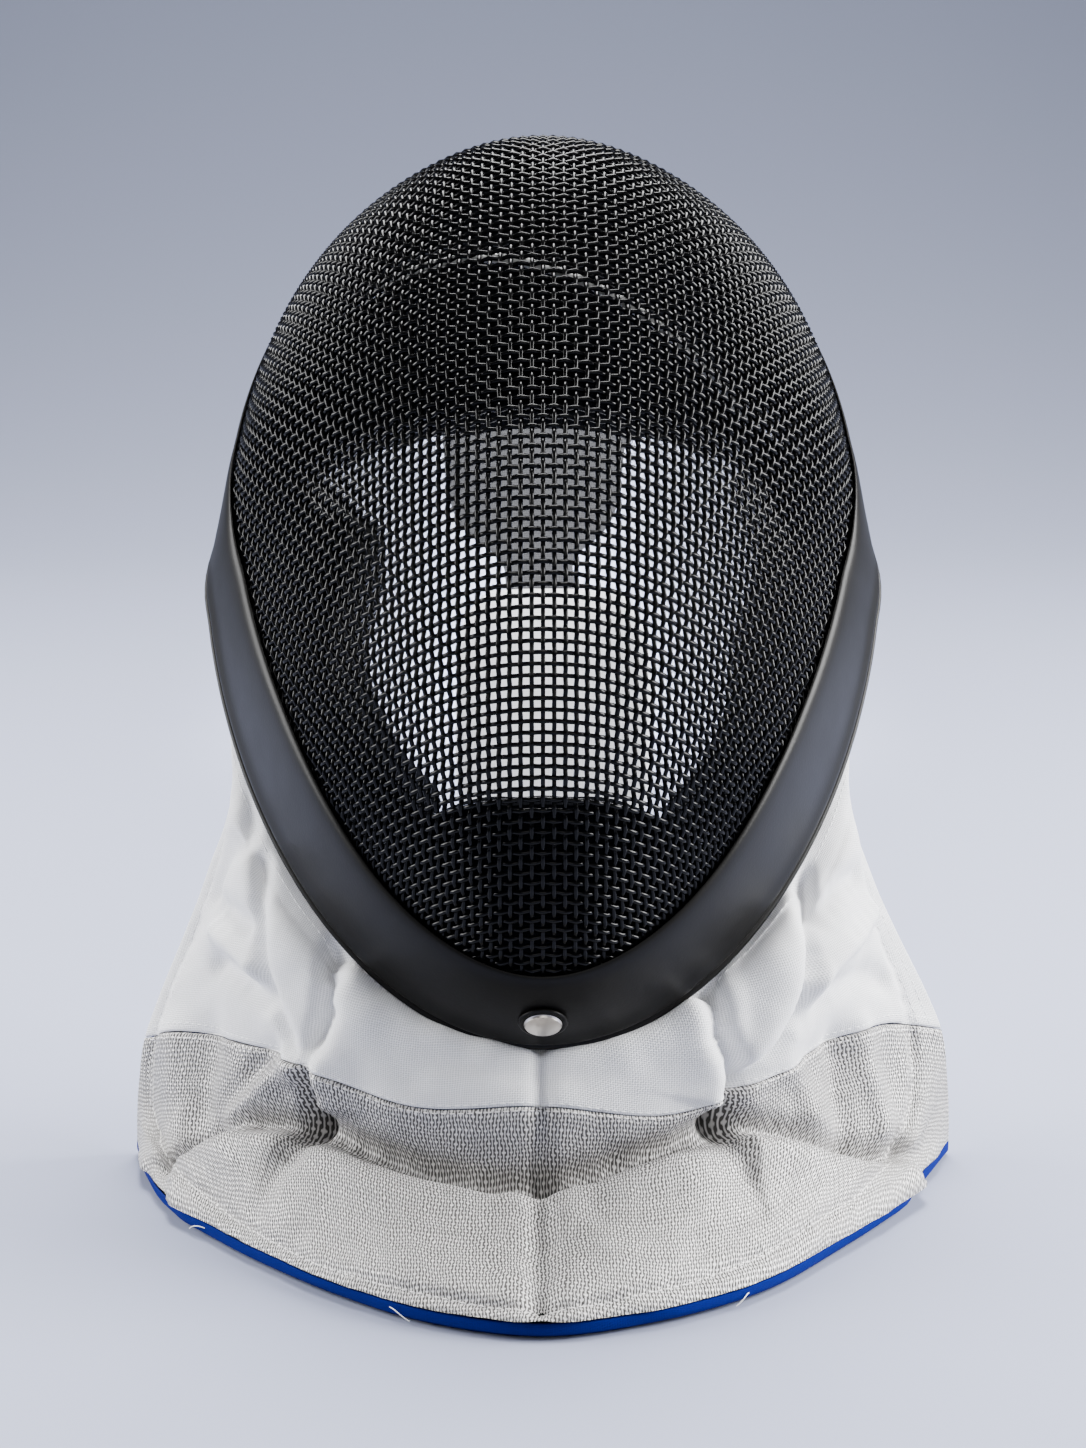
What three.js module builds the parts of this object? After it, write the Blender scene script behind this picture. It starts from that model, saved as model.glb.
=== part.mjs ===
// Fencing mask: a woven wire bowl with a rubber trim band, inner pads, a sprung rear tongue
// and a throat bib of padded cloth that stands on its own hem.
// Millimetres. X is the wearer's left-to-right width, +Y points to the back, Z is up.
// The floor is z = 0 and the bib's hem stands on it.
//
// The bowl is described in its own tilted frame: b runs along the rim plane from the chin
// to the back of the crown, and a stands off that plane, forwards and up.

import * as THREE from 'three';

// Overall frame
const RIM_TILT = 53;            // degrees that the rim plane leans back from level
const CHIN_BACK = -60.3;        // y of the rim plane at the chin, b = 0
const CHIN_UP = 63.6;           // z of the same point
const FACE_GAP = 0.35;          // clearance between pieces that touch
const CENTRE_SHIFT = 2.63;      // moves everything back, so that the origin is under the middle

// Bowl
const MESH_B0 = 4;              // the mesh's edge at the chin
const MESH_B1 = 299;            // the mesh's edge at the back of the crown
const WIDEST_B = 169;           // where the mask is widest
const HALF_WIDTH = 106;         // half the mesh's width there
const DEEPEST_B = 155;          // where the bowl is deepest
const DEPTH = 111.5;            // depth of the bowl there, over the rim plane
const SIDE_SWELL = 9;           // extra half width over the ears
const SWELL_FROM = 148;         // it starts at this b
const SWELL_TO = 200;           // and is full at this one
const RIM_TUCK = 13;            // the edge turns in this far behind that swell
const TUCK_FROM = 155;
const TUCK_TO = 205;
const EAR_DIP = 12.3;           // the rim sinks below its plane at the ears
const MESH_WALL = 2.2;          // two crossing wires of 1.1 mm
const NOSE_POWER = 2.07;        // section across the bowl: nearly a parabola
const POLE_B = 150;             // the meridians meet here
const RIM_TURNS = 54;           // facets round the rim

// Trim band
const TRIM_SKIN = 2.0;          // rubber over the mesh
const SKIN_GAP = 0.6;           // between the two, so that flat facets clear each other
const TRIM_BEAD = 4.4;          // half the thickness of the rolled outer edge
const CROWN_SKIN = 1.15;        // the same two over the ears, where the band is thinner
const CROWN_BEAD = 1.9;
const THIN_FROM = 150;          // it starts to thin at this b
const THIN_TO = 195;            // and is thin from this one on
const TRIM_OVERHANG = 6.0;      // bead beyond the mesh's edge
const TRIM_TURN_IN = 7.0;       // inner leg
const TRIM_WIDTHS = [           // width up the mesh, by place along the rim
  { b: 0, width: 31 },
  { b: 60, width: 36 },
  { b: 110, width: 35 },
  { b: 165, width: 29 },
  { b: 215, width: 21 },
  { b: 300, width: 16 },
];

// Cloth
const OUTER_CLOTH = 2.2;        // padded outer fabric of the bib
const LINING_CLOTH = 1.3;       // blue lining inside it
const LINING_GAP = 0.8;         // between the two layers
const HEM_LIFT = 3.6;           // the lining shows this far under the outer hem
const HEM_TURN = 6;             // the last stretch of the hem stands upright

// Bib, one row for each section from the free edge at one ear to that at the other.
// rim is the place b on the rim where the section starts, the rest are x, y, z.
const BIB_SECTIONS = [
  { u: -1.00, rim: 135, waist: [-100.5, 22.5, 124], hip: [-110, 23, 94], seam: [-131, 18.5, 40],
    throat: [-133.2, 17, 26], brow: [-134, 16.5, 12], hem: [-134, 16] },
  { u: -0.80, rim: 103, waist: [-100, 5, 116], hip: [-106, 6, 84], seam: [-114, 3, 47],
    throat: [-115, -12, 15], brow: [-119, -22, 9.5], hem: [-121, -29] },
  { u: -0.60, rim: 72, waist: [-90, -16, 99], hip: [-93, -17.5, 76], seam: [-93, -22, 51],
    throat: [-92, -37, 30], brow: [-96, -56, 13], hem: [-98, -62] },
  { u: -0.40, rim: 42, waist: [-72, -35, 83], hip: [-74.5, -39.5, 68], seam: [-71.5, -46, 52],
    throat: [-68, -50, 32], brow: [-67, -86, 13], hem: [-69, -93] },
  { u: -0.20, rim: 14, waist: [-38.5, -53, 66], hip: [-40, -57, 56], seam: [-38, -61, 44.5],
    throat: [-35, -68, 25], brow: [-34, -111, 13], hem: [-36, -119] },
  { u: 0.00, rim: 4, waist: [0, -57.5, 59], hip: [0, -61, 53], seam: [0, -66, 46],
    throat: [0, -74, 22.5], brow: [0, -121, 12], hem: [0, -130] },
  { u: 0.20, rim: 14, waist: [37.5, -53, 65], hip: [38.5, -57, 54], seam: [36, -60.5, 41.5],
    throat: [32, -66, 29.5], brow: [33, -111, 13], hem: [35, -119] },
  { u: 0.40, rim: 42, waist: [70, -35.5, 81], hip: [70, -42, 63], seam: [63, -49, 46],
    throat: [58, -54, 33.5], brow: [62, -92, 13.5], hem: [64, -99] },
  { u: 0.60, rim: 72, waist: [89, -16, 98], hip: [91, -18.5, 75], seam: [88, -22, 50.5],
    throat: [84, -40, 28], brow: [85, -66, 12.5], hem: [87, -71] },
  { u: 0.80, rim: 103, waist: [98, 5, 115], hip: [103, 6, 83], seam: [110, 2, 50],
    throat: [110, -17, 16], brow: [111, -27, 9.5], hem: [112, -33] },
  { u: 1.00, rim: 135, waist: [98.5, 22.5, 124], hip: [107.5, 23, 94], seam: [131, 18.5, 43],
    throat: [133.2, 17, 28], brow: [134, 16.5, 12], hem: [134, 16] },
];
const BIB_COLUMNS = 36;         // facets from ear to ear
const WHITE_ROWS = 6;           // facets from the trim to the seam
const SILVER_ROWS = 10;         // facets from the seam to the hem

// Pads. q is the share of the bowl's half width, -1 to 1.
const PAD_GAP = 1.2;            // from the mesh, so that flat facets clear the curve
const PAD_EDGE = 3.2;           // thickness left at a pad's rim
const CHEEK_EDGES = [           // front edge of each cheek pad
  { b: 47, left: 0.54, right: 0.62 },
  { b: 56, left: 0.58, right: 0.67 },
  { b: 70, left: 0.66, right: 0.73 },
  { b: 92, left: 0.70, right: 0.76 },
  { b: 109, left: 0.67, right: 0.73 },
  { b: 120, left: 0.60, right: 0.73 },
  { b: 138, left: 0.56, right: 0.76 },
  { b: 158, left: 0.66, right: 0.64 },
];

// Rear tongue: a cloth-covered spring strip with a padded plate. Rows run down the strip.
const STRAP_THICKNESS = 3;
const TONGUE_ROWS = [
  { y: 107.8, z: 301.6, half: 14, centre: 0 },
  { y: 112.5, z: 298.2, half: 18, centre: 0 },
  { y: 114.6, z: 291.5, half: 24, centre: 0 },
  { y: 112.5, z: 274, half: 32, centre: 0 },
  { y: 108.5, z: 248, half: 33, centre: -1 },
  { y: 105, z: 226, half: 31.5, centre: -3 },
  { y: 101.7, z: 200, half: 27, centre: -3 },
  { y: 99, z: 186, half: 13, centre: -2 },
  { y: 97.1, z: 174, half: 12.5, centre: 0 },
  { y: 95.5, z: 150, half: 12.5, centre: 3 },
  { y: 94, z: 128, half: 12.5, centre: 3.5 },
];
const PLATE = { top: 177, bottom: 88, half: 33.5, centre: 3.5, thickness: 11, lean: 0.07, front: 85 };
const RIVET = { radius: 6, dome: 2.1, rim: 0.9, washer: 7.6, s: 12.5 };

const DEG = Math.PI / 180;
const ALONG = new THREE.Vector3(0, Math.cos(RIM_TILT * DEG), Math.sin(RIM_TILT * DEG));
const OUTWARD = new THREE.Vector3(0, -Math.sin(RIM_TILT * DEG), Math.cos(RIM_TILT * DEG));
const CHIN = new THREE.Vector3(0, CHIN_BACK, CHIN_UP);

const clamp01 = (t) => Math.min(1, Math.max(0, t));
const mix = (p, q, t) => p + (q - p) * t;
const smoothStep = (low, high, value) => {
  const t = clamp01((value - low) / (high - low));
  return t * t * (3 - 2 * t);
};
const vec = (list) => new THREE.Vector3(list[0], list[1], list[2]);

/** Value of a column of a short table at key, eased smoothly between its rows. */
function tableAt(rows, key, column, at) {
  const last = rows.length - 1;
  if (at <= rows[0][key]) return rows[0][column];
  if (at >= rows[last][key]) return rows[last][column];
  let i = 0;
  while (rows[i + 1][key] < at) i += 1;
  const slope = (k) => {
    const lo = Math.max(0, k - 1);
    const hi = Math.min(last, k + 1);
    return (rows[hi][column] - rows[lo][column]) / (rows[hi][key] - rows[lo][key]);
  };
  const span = rows[i + 1][key] - rows[i][key];
  const t = (at - rows[i][key]) / span;
  const h01 = t * t * (3 - 2 * t);
  const h10 = t * (1 - t) * (1 - t);
  const h11 = t * t * (t - 1);
  return mix(rows[i][column], rows[i + 1][column], h01) + span * (h10 * slope(i) + h11 * slope(i + 1));
}

/** Half the bowl's width at b. */
function halfWidth(b) {
  const half = HALF_WIDTH + SIDE_SWELL * smoothStep(SWELL_FROM, SWELL_TO, b);
  if (b < WIDEST_B) {
    const u = clamp01((WIDEST_B - b) / (WIDEST_B - MESH_B0));
    return half * Math.sqrt(1 - u ** 1.6);
  }
  const u = clamp01((b - WIDEST_B) / (MESH_B1 - WIDEST_B));
  return half * (1 - u ** 2.35) ** 0.42;
}

/** How far the bowl's wall turns in at (b, q), most at its edge over the ears. */
function tuck(b, q) {
  const full = RIM_TUCK * smoothStep(TUCK_FROM, TUCK_TO, b) * Math.sqrt(clamp01((MESH_B1 - b) / 25));
  return full * Math.min(1, Math.abs(q)) ** 10 * Math.sign(q);
}

/** Height of the bowl's centre line over the rim plane at b. */
function crest(b) {
  if (b < DEEPEST_B) {
    const u = clamp01((DEEPEST_B - b) / (DEEPEST_B - MESH_B0));
    return DEPTH * (1 - u ** 2.4) ** 0.6;
  }
  const u = clamp01((b - DEEPEST_B) / (MESH_B1 - DEEPEST_B));
  return DEPTH * (1 - u ** 1.58) ** 0.29;
}

/** How far the rim lies under its plane at b. */
function dip(b) {
  const share = clamp01((b - MESH_B0) / (MESH_B1 - MESH_B0));
  return -EAR_DIP * Math.sin(Math.PI * share) ** 1.2;
}

/** Point of the bowl's outer surface over (b, q), where q is the share of the half width. */
function bowlPoint(b, q) {
  const floor = dip(b);
  const wall = 0.95 - 0.19 * clamp01((b - 100) / (MESH_B1 - 100));
  const a = floor + (crest(b) - floor) * (1 - Math.min(1, Math.abs(q)) ** NOSE_POWER) ** wall;
  const p = CHIN.clone().addScaledVector(ALONG, b).addScaledVector(OUTWARD, a);
  p.x = q * halfWidth(b) - tuck(b, q);
  return p;
}

/** Outward normal of the bowl over (b, q), from two small steps. */
function bowlNormal(b, q) {
  const step = 0.01;
  const db = bowlPoint(b + step, q).sub(bowlPoint(b - step, q));
  const dq = bowlPoint(b, q + step).sub(bowlPoint(b, q - step));
  return dq.cross(db).normalize();
}

/** Point at a depth inside the bowl's outer surface. */
function bowlInset(b, q, depth) {
  return bowlPoint(b, q).addScaledVector(bowlNormal(b, q), -depth);
}

/** Turns around the rim, 0 at the chin and half a turn at the crown's back, into b. */
function rimB(theta) {
  return mix(MESH_B0, MESH_B1, (1 - Math.cos(theta)) / 2);
}

/** A meridian of the bowl from the rim at theta to the pole, with its arc lengths. */
function meridian(theta, steps = 160) {
  const b = rimB(theta);
  const x = halfWidth(b) * Math.sign(Math.sin(theta));
  const points = [];
  for (let i = 0; i <= steps; i += 1) {
    const reach = 1 - (1 - Math.cos((i / steps) * Math.PI / 2));
    const bi = mix(POLE_B, b, reach);
    const qi = Math.min(1, Math.max(-1, (x * reach) / Math.max(halfWidth(bi), 1e-6)));
    points.push(bowlPoint(bi, qi));
  }
  const arc = [0];
  for (let i = 1; i <= steps; i += 1) arc.push(arc[i - 1] + points[i].distanceTo(points[i - 1]));
  return { points, arc, length: arc[steps] };
}

/** Point of a meridian at arc distance s from the rim. */
function alongMeridian(line, s) {
  const at = Math.min(line.length, Math.max(0, s));
  let i = 1;
  while (i < line.arc.length - 1 && line.arc[i] < at) i += 1;
  const span = line.arc[i] - line.arc[i - 1];
  return line.points[i - 1].clone().lerp(line.points[i], span > 0 ? (at - line.arc[i - 1]) / span : 0);
}

/** Frame of the rim at theta: edge point, direction up the wall, outward normal. */
function rimFrame(theta) {
  const line = meridian(theta);
  const edge = line.points[0];
  const up = alongMeridian(line, 5).sub(edge).normalize();
  const nudge = 0.02;
  const along = meridian(theta + nudge, 8).points[0].sub(meridian(theta - nudge, 8).points[0]).normalize();
  return { line, edge, up, along, normal: along.clone().cross(up).normalize() };
}

/** Geometry from vertices and triangles, turned so that its faces point out. */
function closedGeometry(vertices, triangles) {
  const volume = triangles.reduce((sum, [i, j, k]) => {
    const cross = new THREE.Vector3().crossVectors(vertices[j], vertices[k]);
    return sum + vertices[i].dot(cross) / 6;
  }, 0);
  const index = triangles.flatMap(([i, j, k]) => (volume < 0 ? [i, k, j] : [i, j, k]));
  const geometry = new THREE.BufferGeometry();
  const positions = vertices.flatMap((p) => [p.x, p.y, p.z]);
  geometry.setAttribute('position', new THREE.Float32BufferAttribute(positions, 3));
  geometry.setIndex(index);
  geometry.computeVertexNormals();
  return geometry;
}

/** Solid between two grids of points that face each other, closed along all four edges. */
function wallGeometry(outer, inner) {
  const rows = outer.length;
  const columns = outer[0].length;
  const vertices = [...outer.flat(), ...inner.flat()];
  const at = (side, i, j) => side * rows * columns + i * columns + j;
  const triangles = [];
  const quad = (p, q, r, s) => triangles.push([p, q, r], [p, r, s]);
  for (let i = 0; i < rows - 1; i += 1) {
    for (let j = 0; j < columns - 1; j += 1) {
      quad(at(0, i, j), at(0, i, j + 1), at(0, i + 1, j + 1), at(0, i + 1, j));
      quad(at(1, i, j), at(1, i + 1, j), at(1, i + 1, j + 1), at(1, i, j + 1));
    }
  }
  for (let i = 0; i < rows - 1; i += 1) {
    const end = columns - 1;
    quad(at(0, i, 0), at(0, i + 1, 0), at(1, i + 1, 0), at(1, i, 0));
    quad(at(0, i, end), at(1, i, end), at(1, i + 1, end), at(0, i + 1, end));
  }
  for (let j = 0; j < columns - 1; j += 1) {
    const end = rows - 1;
    quad(at(0, 0, j), at(1, 0, j), at(1, 0, j + 1), at(0, 0, j + 1));
    quad(at(0, end, j), at(0, end, j + 1), at(1, end, j + 1), at(1, end, j));
  }
  return closedGeometry(vertices, triangles);
}

/** Ring solid through a loop of closed sections. */
function ringGeometry(sections) {
  const count = sections.length;
  const size = sections[0].length;
  const triangles = [];
  for (let i = 0; i < count; i += 1) {
    const next = (i + 1) % count;
    for (let j = 0; j < size; j += 1) {
      const k = (j + 1) % size;
      triangles.push([i * size + j, next * size + j, next * size + k]);
      triangles.push([i * size + j, next * size + k, i * size + k]);
    }
  }
  return closedGeometry(sections.flat(), triangles);
}

/** A named piece with a plain material. */
function piece(name, geometry, color, roughness, metalness = 0) {
  const material = new THREE.MeshStandardMaterial({ color, roughness, metalness });
  const mesh = new THREE.Mesh(geometry, material);
  mesh.name = name;
  return mesh;
}

/** The mesh bowl: a wall two wires thick, in rings from the rim to the pole, the first under the trim. */
function wireMesh() {
  const turns = RIM_TURNS;
  const underTrim = [0, 0.33, 0.66, 1];
  const beyond = [0.1, 0.21, 0.33, 0.46, 0.6, 0.74, 0.87];
  const grid = [];
  for (let i = 0; i < turns; i += 1) {
    const theta = (i / turns) * 2 * Math.PI;
    const line = meridian(theta);
    const width = tableAt(TRIM_WIDTHS, 'b', 'width', rimB(theta));
    const places = [
      ...underTrim.map((share) => share * width),
      ...beyond.map((share) => width + share * (line.length - width)),
    ];
    grid.push(places.map((place) => alongMeridian(line, place)));
  }
  const pole = bowlPoint(POLE_B, 0);
  const rings = underTrim.length + beyond.length;
  const point = (i, j) => (j >= rings ? pole : grid[(i + turns) % turns][j]);
  const normalAt = (i, j) => {
    const across = point(i + 1, j).clone().sub(point(i - 1, j));
    const up = point(i, Math.min(j + 1, rings)).clone().sub(point(i, Math.max(j - 1, 0)));
    return across.cross(up).normalize();
  };
  const vertices = [];
  for (const depth of [0, MESH_WALL]) {
    for (let i = 0; i < turns; i += 1) {
      for (let j = 0; j < rings; j += 1) {
        vertices.push(point(i, j).clone().addScaledVector(normalAt(i, j), -depth));
      }
    }
    vertices.push(pole.clone().addScaledVector(OUTWARD, -depth));
  }
  const side = turns * rings + 1;
  const at = (face, i, j) => face * side + (j >= rings ? side - 1 : (i % turns) * rings + j);
  const triangles = [];
  for (let i = 0; i < turns; i += 1) {
    for (let j = 0; j < rings; j += 1) {
      triangles.push([at(0, i, j), at(0, i + 1, j), at(0, i + 1, j + 1)]);
      triangles.push([at(1, i, j), at(1, i + 1, j + 1), at(1, i + 1, j)]);
      if (j < rings - 1) {
        triangles.push([at(0, i, j), at(0, i + 1, j + 1), at(0, i, j + 1)]);
        triangles.push([at(1, i, j), at(1, i, j + 1), at(1, i + 1, j + 1)]);
      }
    }
    triangles.push([at(0, i, 0), at(1, i, 0), at(1, i + 1, 0)]);
    triangles.push([at(0, i, 0), at(1, i + 1, 0), at(0, i + 1, 0)]);
  }
  return piece('wire_mesh', closedGeometry(vertices, triangles), 0x101114, 0.35, 0.6);
}

/** Section of the trim at theta: skin up the mesh, rolled bead, short leg inside. */
function trimSection(theta) {
  const { line, edge, up, normal, along } = rimFrame(theta);
  const width = tableAt(TRIM_WIDTHS, 'b', 'width', rimB(theta));
  const thin = smoothStep(THIN_FROM, THIN_TO, rimB(theta));
  const skin = mix(TRIM_SKIN, CROWN_SKIN, thin);
  const bead = mix(TRIM_BEAD, CROWN_BEAD, thin);
  const skinAt = (s, off) => {
    const low = alongMeridian(line, Math.max(0, s - 2));
    const wall = alongMeridian(line, s + 2).sub(low).normalize();
    const out = along.clone().cross(wall).normalize();
    return alongMeridian(line, s).addScaledVector(out, off);
  };
  const beadAt = (s, off) => edge.clone().addScaledVector(up, s).addScaledVector(normal, off);
  const lean = alongMeridian(line, width * 0.33).sub(edge).normalize();
  const inward = lean.clone().cross(along).normalize();
  const legAt = (s, depth) => edge.clone().addScaledVector(lean, s).addScaledVector(inward, depth);
  const under = MESH_WALL + FACE_GAP;
  return [
    skinAt(width, SKIN_GAP), skinAt(width, SKIN_GAP + skin * 0.6), skinAt(width * 0.66, SKIN_GAP + skin),
    skinAt(width * 0.33, SKIN_GAP + skin), beadAt(3, SKIN_GAP + skin), beadAt(-1, bead),
    beadAt(-4.5, bead * 0.9), beadAt(-TRIM_OVERHANG, bead * 0.27), beadAt(-TRIM_OVERHANG * 0.9, -2.6),
    beadAt(-2.5, -TRIM_BEAD), legAt(TRIM_TURN_IN, under + 1.9), legAt(TRIM_TURN_IN, under + 0.7),
    legAt(-FACE_GAP, under + 0.35), beadAt(-FACE_GAP, SKIN_GAP), skinAt(width * 0.33, SKIN_GAP),
    skinAt(width * 0.66, SKIN_GAP),
  ];
}

function trimBand() {
  const turns = RIM_TURNS;
  const sections = [];
  for (let i = 0; i < turns; i += 1) sections.push(trimSection((i / turns) * 2 * Math.PI));
  return piece('trim_band', ringGeometry(sections), 0x232427, 0.5);
}

/** A pad against the bowl's inside: rounded edges, thick in the middle. */
function padGeometry({ bLow, bHigh, qLow, qHigh, thickness, columns, rows }) {
  const outer = [];
  const inner = [];
  for (let i = 0; i <= rows; i += 1) {
    outer.push([]);
    inner.push([]);
    for (let j = 0; j <= columns; j += 1) {
      const v = (i / rows) * 2 - 1;
      const u = (j / columns) * 2 - 1;
      const swell = Math.sqrt(Math.max(0, (1 - Math.abs(v) ** 5) * (1 - Math.abs(u) ** 5)));
      const depth = MESH_WALL + PAD_GAP;
      const share = (1 - Math.cos((i / rows) * Math.PI)) / 2;
      const across = (1 - Math.cos((j / columns) * Math.PI)) / 2;
      const q0 = mix(qLow(0.5), qHigh(0.5), across);
      const b = mix(bLow(q0), bHigh(q0), share);
      const q = mix(qLow(b), qHigh(b), across);
      outer[i].push(bowlInset(b, q, depth));
      inner[i].push(bowlInset(b, q, depth + PAD_EDGE + (thickness - PAD_EDGE) * swell));
    }
  }
  return wallGeometry(outer, inner);
}

function pads() {
  const foreheadLow = (q) => 155 + 24 * q * q;
  const foreheadHigh = (q) => {
    const slanted = 207.5 - 45.5 * q - 33 * q * q - 35 * Math.min(0, q) ** 2;
    return Math.max(slanted, foreheadLow(q) + 8);
  };
  const constant = (value) => () => value;
  const shapes = {
    forehead_pad: {
      bLow: foreheadLow, bHigh: foreheadHigh, qLow: constant(-0.78), qHigh: constant(0.74),
      thickness: 13, columns: 16, rows: 5,
    },
    crown_pad: {
      bLow: (q) => foreheadHigh(q) + 7, bHigh: (q) => 272 - 14 * q * q, qLow: constant(-0.84),
      qHigh: constant(0.8), thickness: 9, columns: 16, rows: 6,
    },
    cheek_pad_left: {
      bLow: constant(49), bHigh: constant(141), qLow: constant(-0.93),
      qHigh: (b) => -tableAt(CHEEK_EDGES, 'b', 'left', b), thickness: 13, columns: 5, rows: 9,
    },
    cheek_pad_right: {
      bLow: constant(49), bHigh: constant(158), qLow: (b) => tableAt(CHEEK_EDGES, 'b', 'right', b),
      qHigh: constant(0.93), thickness: 13, columns: 5, rows: 9,
    },
    chin_pad: {
      bLow: (q) => 10 + 14 * q * q, bHigh: constant(46.5), qLow: constant(-0.9), qHigh: constant(0.9),
      thickness: 12, columns: 12, rows: 6,
    },
  };
  return Object.entries(shapes).map(([name, shape]) => piece(name, padGeometry(shape), 0x14161c, 0.95));
}

/** Smooth line through guide points, sampled with a given count of facets for each span. */
function smoothLine(guides, counts) {
  const curve = new THREE.CatmullRomCurve3(guides, false, 'centripetal');
  const spans = guides.length - 1;
  const line = [];
  counts.forEach((count, k) => {
    for (let i = 0; i < count; i += 1) line.push(curve.getPoint((k + i / count) / spans));
  });
  line.push(guides[spans].clone());
  return line;
}

/** Blend of a bib column of the section table, for each of its three coordinates. */
function bibGuide(u, column) {
  const size = BIB_SECTIONS[0][column].length;
  const values = [];
  for (let axis = 0; axis < size; axis += 1) {
    const rows = BIB_SECTIONS.map((row) => ({ u: row.u, value: row[column][axis] }));
    values.push(tableAt(rows, 'u', 'value', u));
  }
  return values;
}

/** Where the bib leaves the trim, for each section. */
function bibTop(u) {
  const b = tableAt(BIB_SECTIONS, 'u', 'rim', u);
  const turn = Math.acos(1 - (2 * (b - MESH_B0)) / (MESH_B1 - MESH_B0));
  const { edge, up, normal } = rimFrame(u < 0 ? -turn : turn);
  const across = vec(bibGuide(u, 'waist')).sub(edge).normalize();
  const inside = new THREE.Vector3(-edge.x, 0, 0).normalize();
  const clear = Math.max(0, inside.dot(up)) * (OUTER_CLOTH + LINING_CLOTH) * Math.abs(across.z);
  return edge.addScaledVector(up, -(TRIM_OVERHANG + 0.45 + clear)).addScaledVector(normal, 1.2);
}

/** The bib's outer face: rows run from the trim down to the hem, columns from ear to ear. */
function bibSurface() {
  const columns = [];
  for (let j = 0; j <= BIB_COLUMNS; j += 1) {
    const u = (j / BIB_COLUMNS) * 2 - 1;
    const [hemX, hemY] = bibGuide(u, 'hem');
    const guides = [
      bibTop(u), vec(bibGuide(u, 'waist')), vec(bibGuide(u, 'hip')), vec(bibGuide(u, 'seam')),
      vec(bibGuide(u, 'throat')), vec(bibGuide(u, 'brow')), vec([hemX, hemY, HEM_TURN]), vec([hemX, hemY, 0]),
    ];
    const counts = [2, 2, WHITE_ROWS - 4, 4, SILVER_ROWS - 7, 2, 1];
    columns.push(smoothLine(guides, counts));
  }
  const rows = columns[0].map((_, i) => columns.map((column) => column[i]));
  const normals = rows.map((row, i) => row.map((_, j) => {
    const down = rows[Math.min(i + 1, rows.length - 1)][j].clone().sub(rows[Math.max(i - 1, 0)][j]);
    const over = row[Math.min(j + 1, row.length - 1)].clone().sub(row[Math.max(j - 1, 0)]);
    const normal = down.cross(over).normalize();
    if (i >= rows.length - 2) normal.setZ(0).normalize();
    return normal;
  }));
  return { rows, normals };
}

/** One layer of the bib between two depths, over a range of rows, with its hem at a height. */
function bibLayer(surface, from, to, depths, hem) {
  const layer = (depth) => surface.rows.slice(from, to + 1).map((row, i) => row.map((p, j) => {
    const moved = p.clone().addScaledVector(surface.normals[from + i][j], -depth);
    return moved.setZ(Math.max(hem, moved.z));
  }));
  return wallGeometry(layer(depths[0]), layer(depths[1]));
}

function bib() {
  const surface = bibSurface();
  const last = surface.rows.length - 1;
  const lining = OUTER_CLOTH + LINING_GAP;
  const silver = { ...surface, rows: surface.rows.map((row) => row.map((p) => p.clone())) };
  const gap = (p, q) => p.lerp(q, FACE_GAP / p.distanceTo(q));
  silver.rows[WHITE_ROWS].forEach((p, j) => gap(p, surface.rows[WHITE_ROWS + 1][j]));
  return [
    piece('bib_white_panel', bibLayer(surface, 0, WHITE_ROWS, [0, OUTER_CLOTH], 0), 0xf2f2f0, 0.9),
    piece('bib_silver_panel', bibLayer(silver, WHITE_ROWS, last, [0, OUTER_CLOTH], HEM_LIFT), 0xb9b7b4, 0.6, 0.4),
    piece('bib_lining', bibLayer(surface, 0, last, [lining, lining + LINING_CLOTH], 0), 0x1236a8, 0.85),
  ];
}

/** The tongue's strip, from a tab under the trim at the crown's back down to the plate. */
function tongueStrap() {
  const rows = TONGUE_ROWS.length;
  const steps = 18;
  const guide = (column, t) => {
    const list = TONGUE_ROWS.map((row, i) => ({ t: i / (rows - 1), value: row[column] }));
    return tableAt(list, 't', 'value', t);
  };
  const front = [];
  const back = [];
  for (let i = 0; i <= steps; i += 1) {
    const t = i / steps;
    const dy = guide('y', Math.min(1, t + 0.02)) - guide('y', Math.max(0, t - 0.02));
    const dz = guide('z', Math.min(1, t + 0.02)) - guide('z', Math.max(0, t - 0.02));
    const normal = new THREE.Vector3(0, dz, -dy).normalize();
    const across = [-1, -0.5, 0, 0.5, 1];
    const place = (share, off) => {
      const crown = 1.5 * (1 - share * share);
      const p = new THREE.Vector3(guide('centre', t) + share * guide('half', t), guide('y', t) + crown, guide('z', t));
      return p.addScaledVector(normal, off * (Math.abs(share) === 1 ? 0.6 : 1));
    };
    front.push(across.map((share) => place(share, STRAP_THICKNESS / 2)));
    back.push(across.map((share) => place(share, -STRAP_THICKNESS / 2)));
  }
  return piece('tongue_strap', wallGeometry(front, back), 0x8c8f96, 0.9);
}

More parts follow.
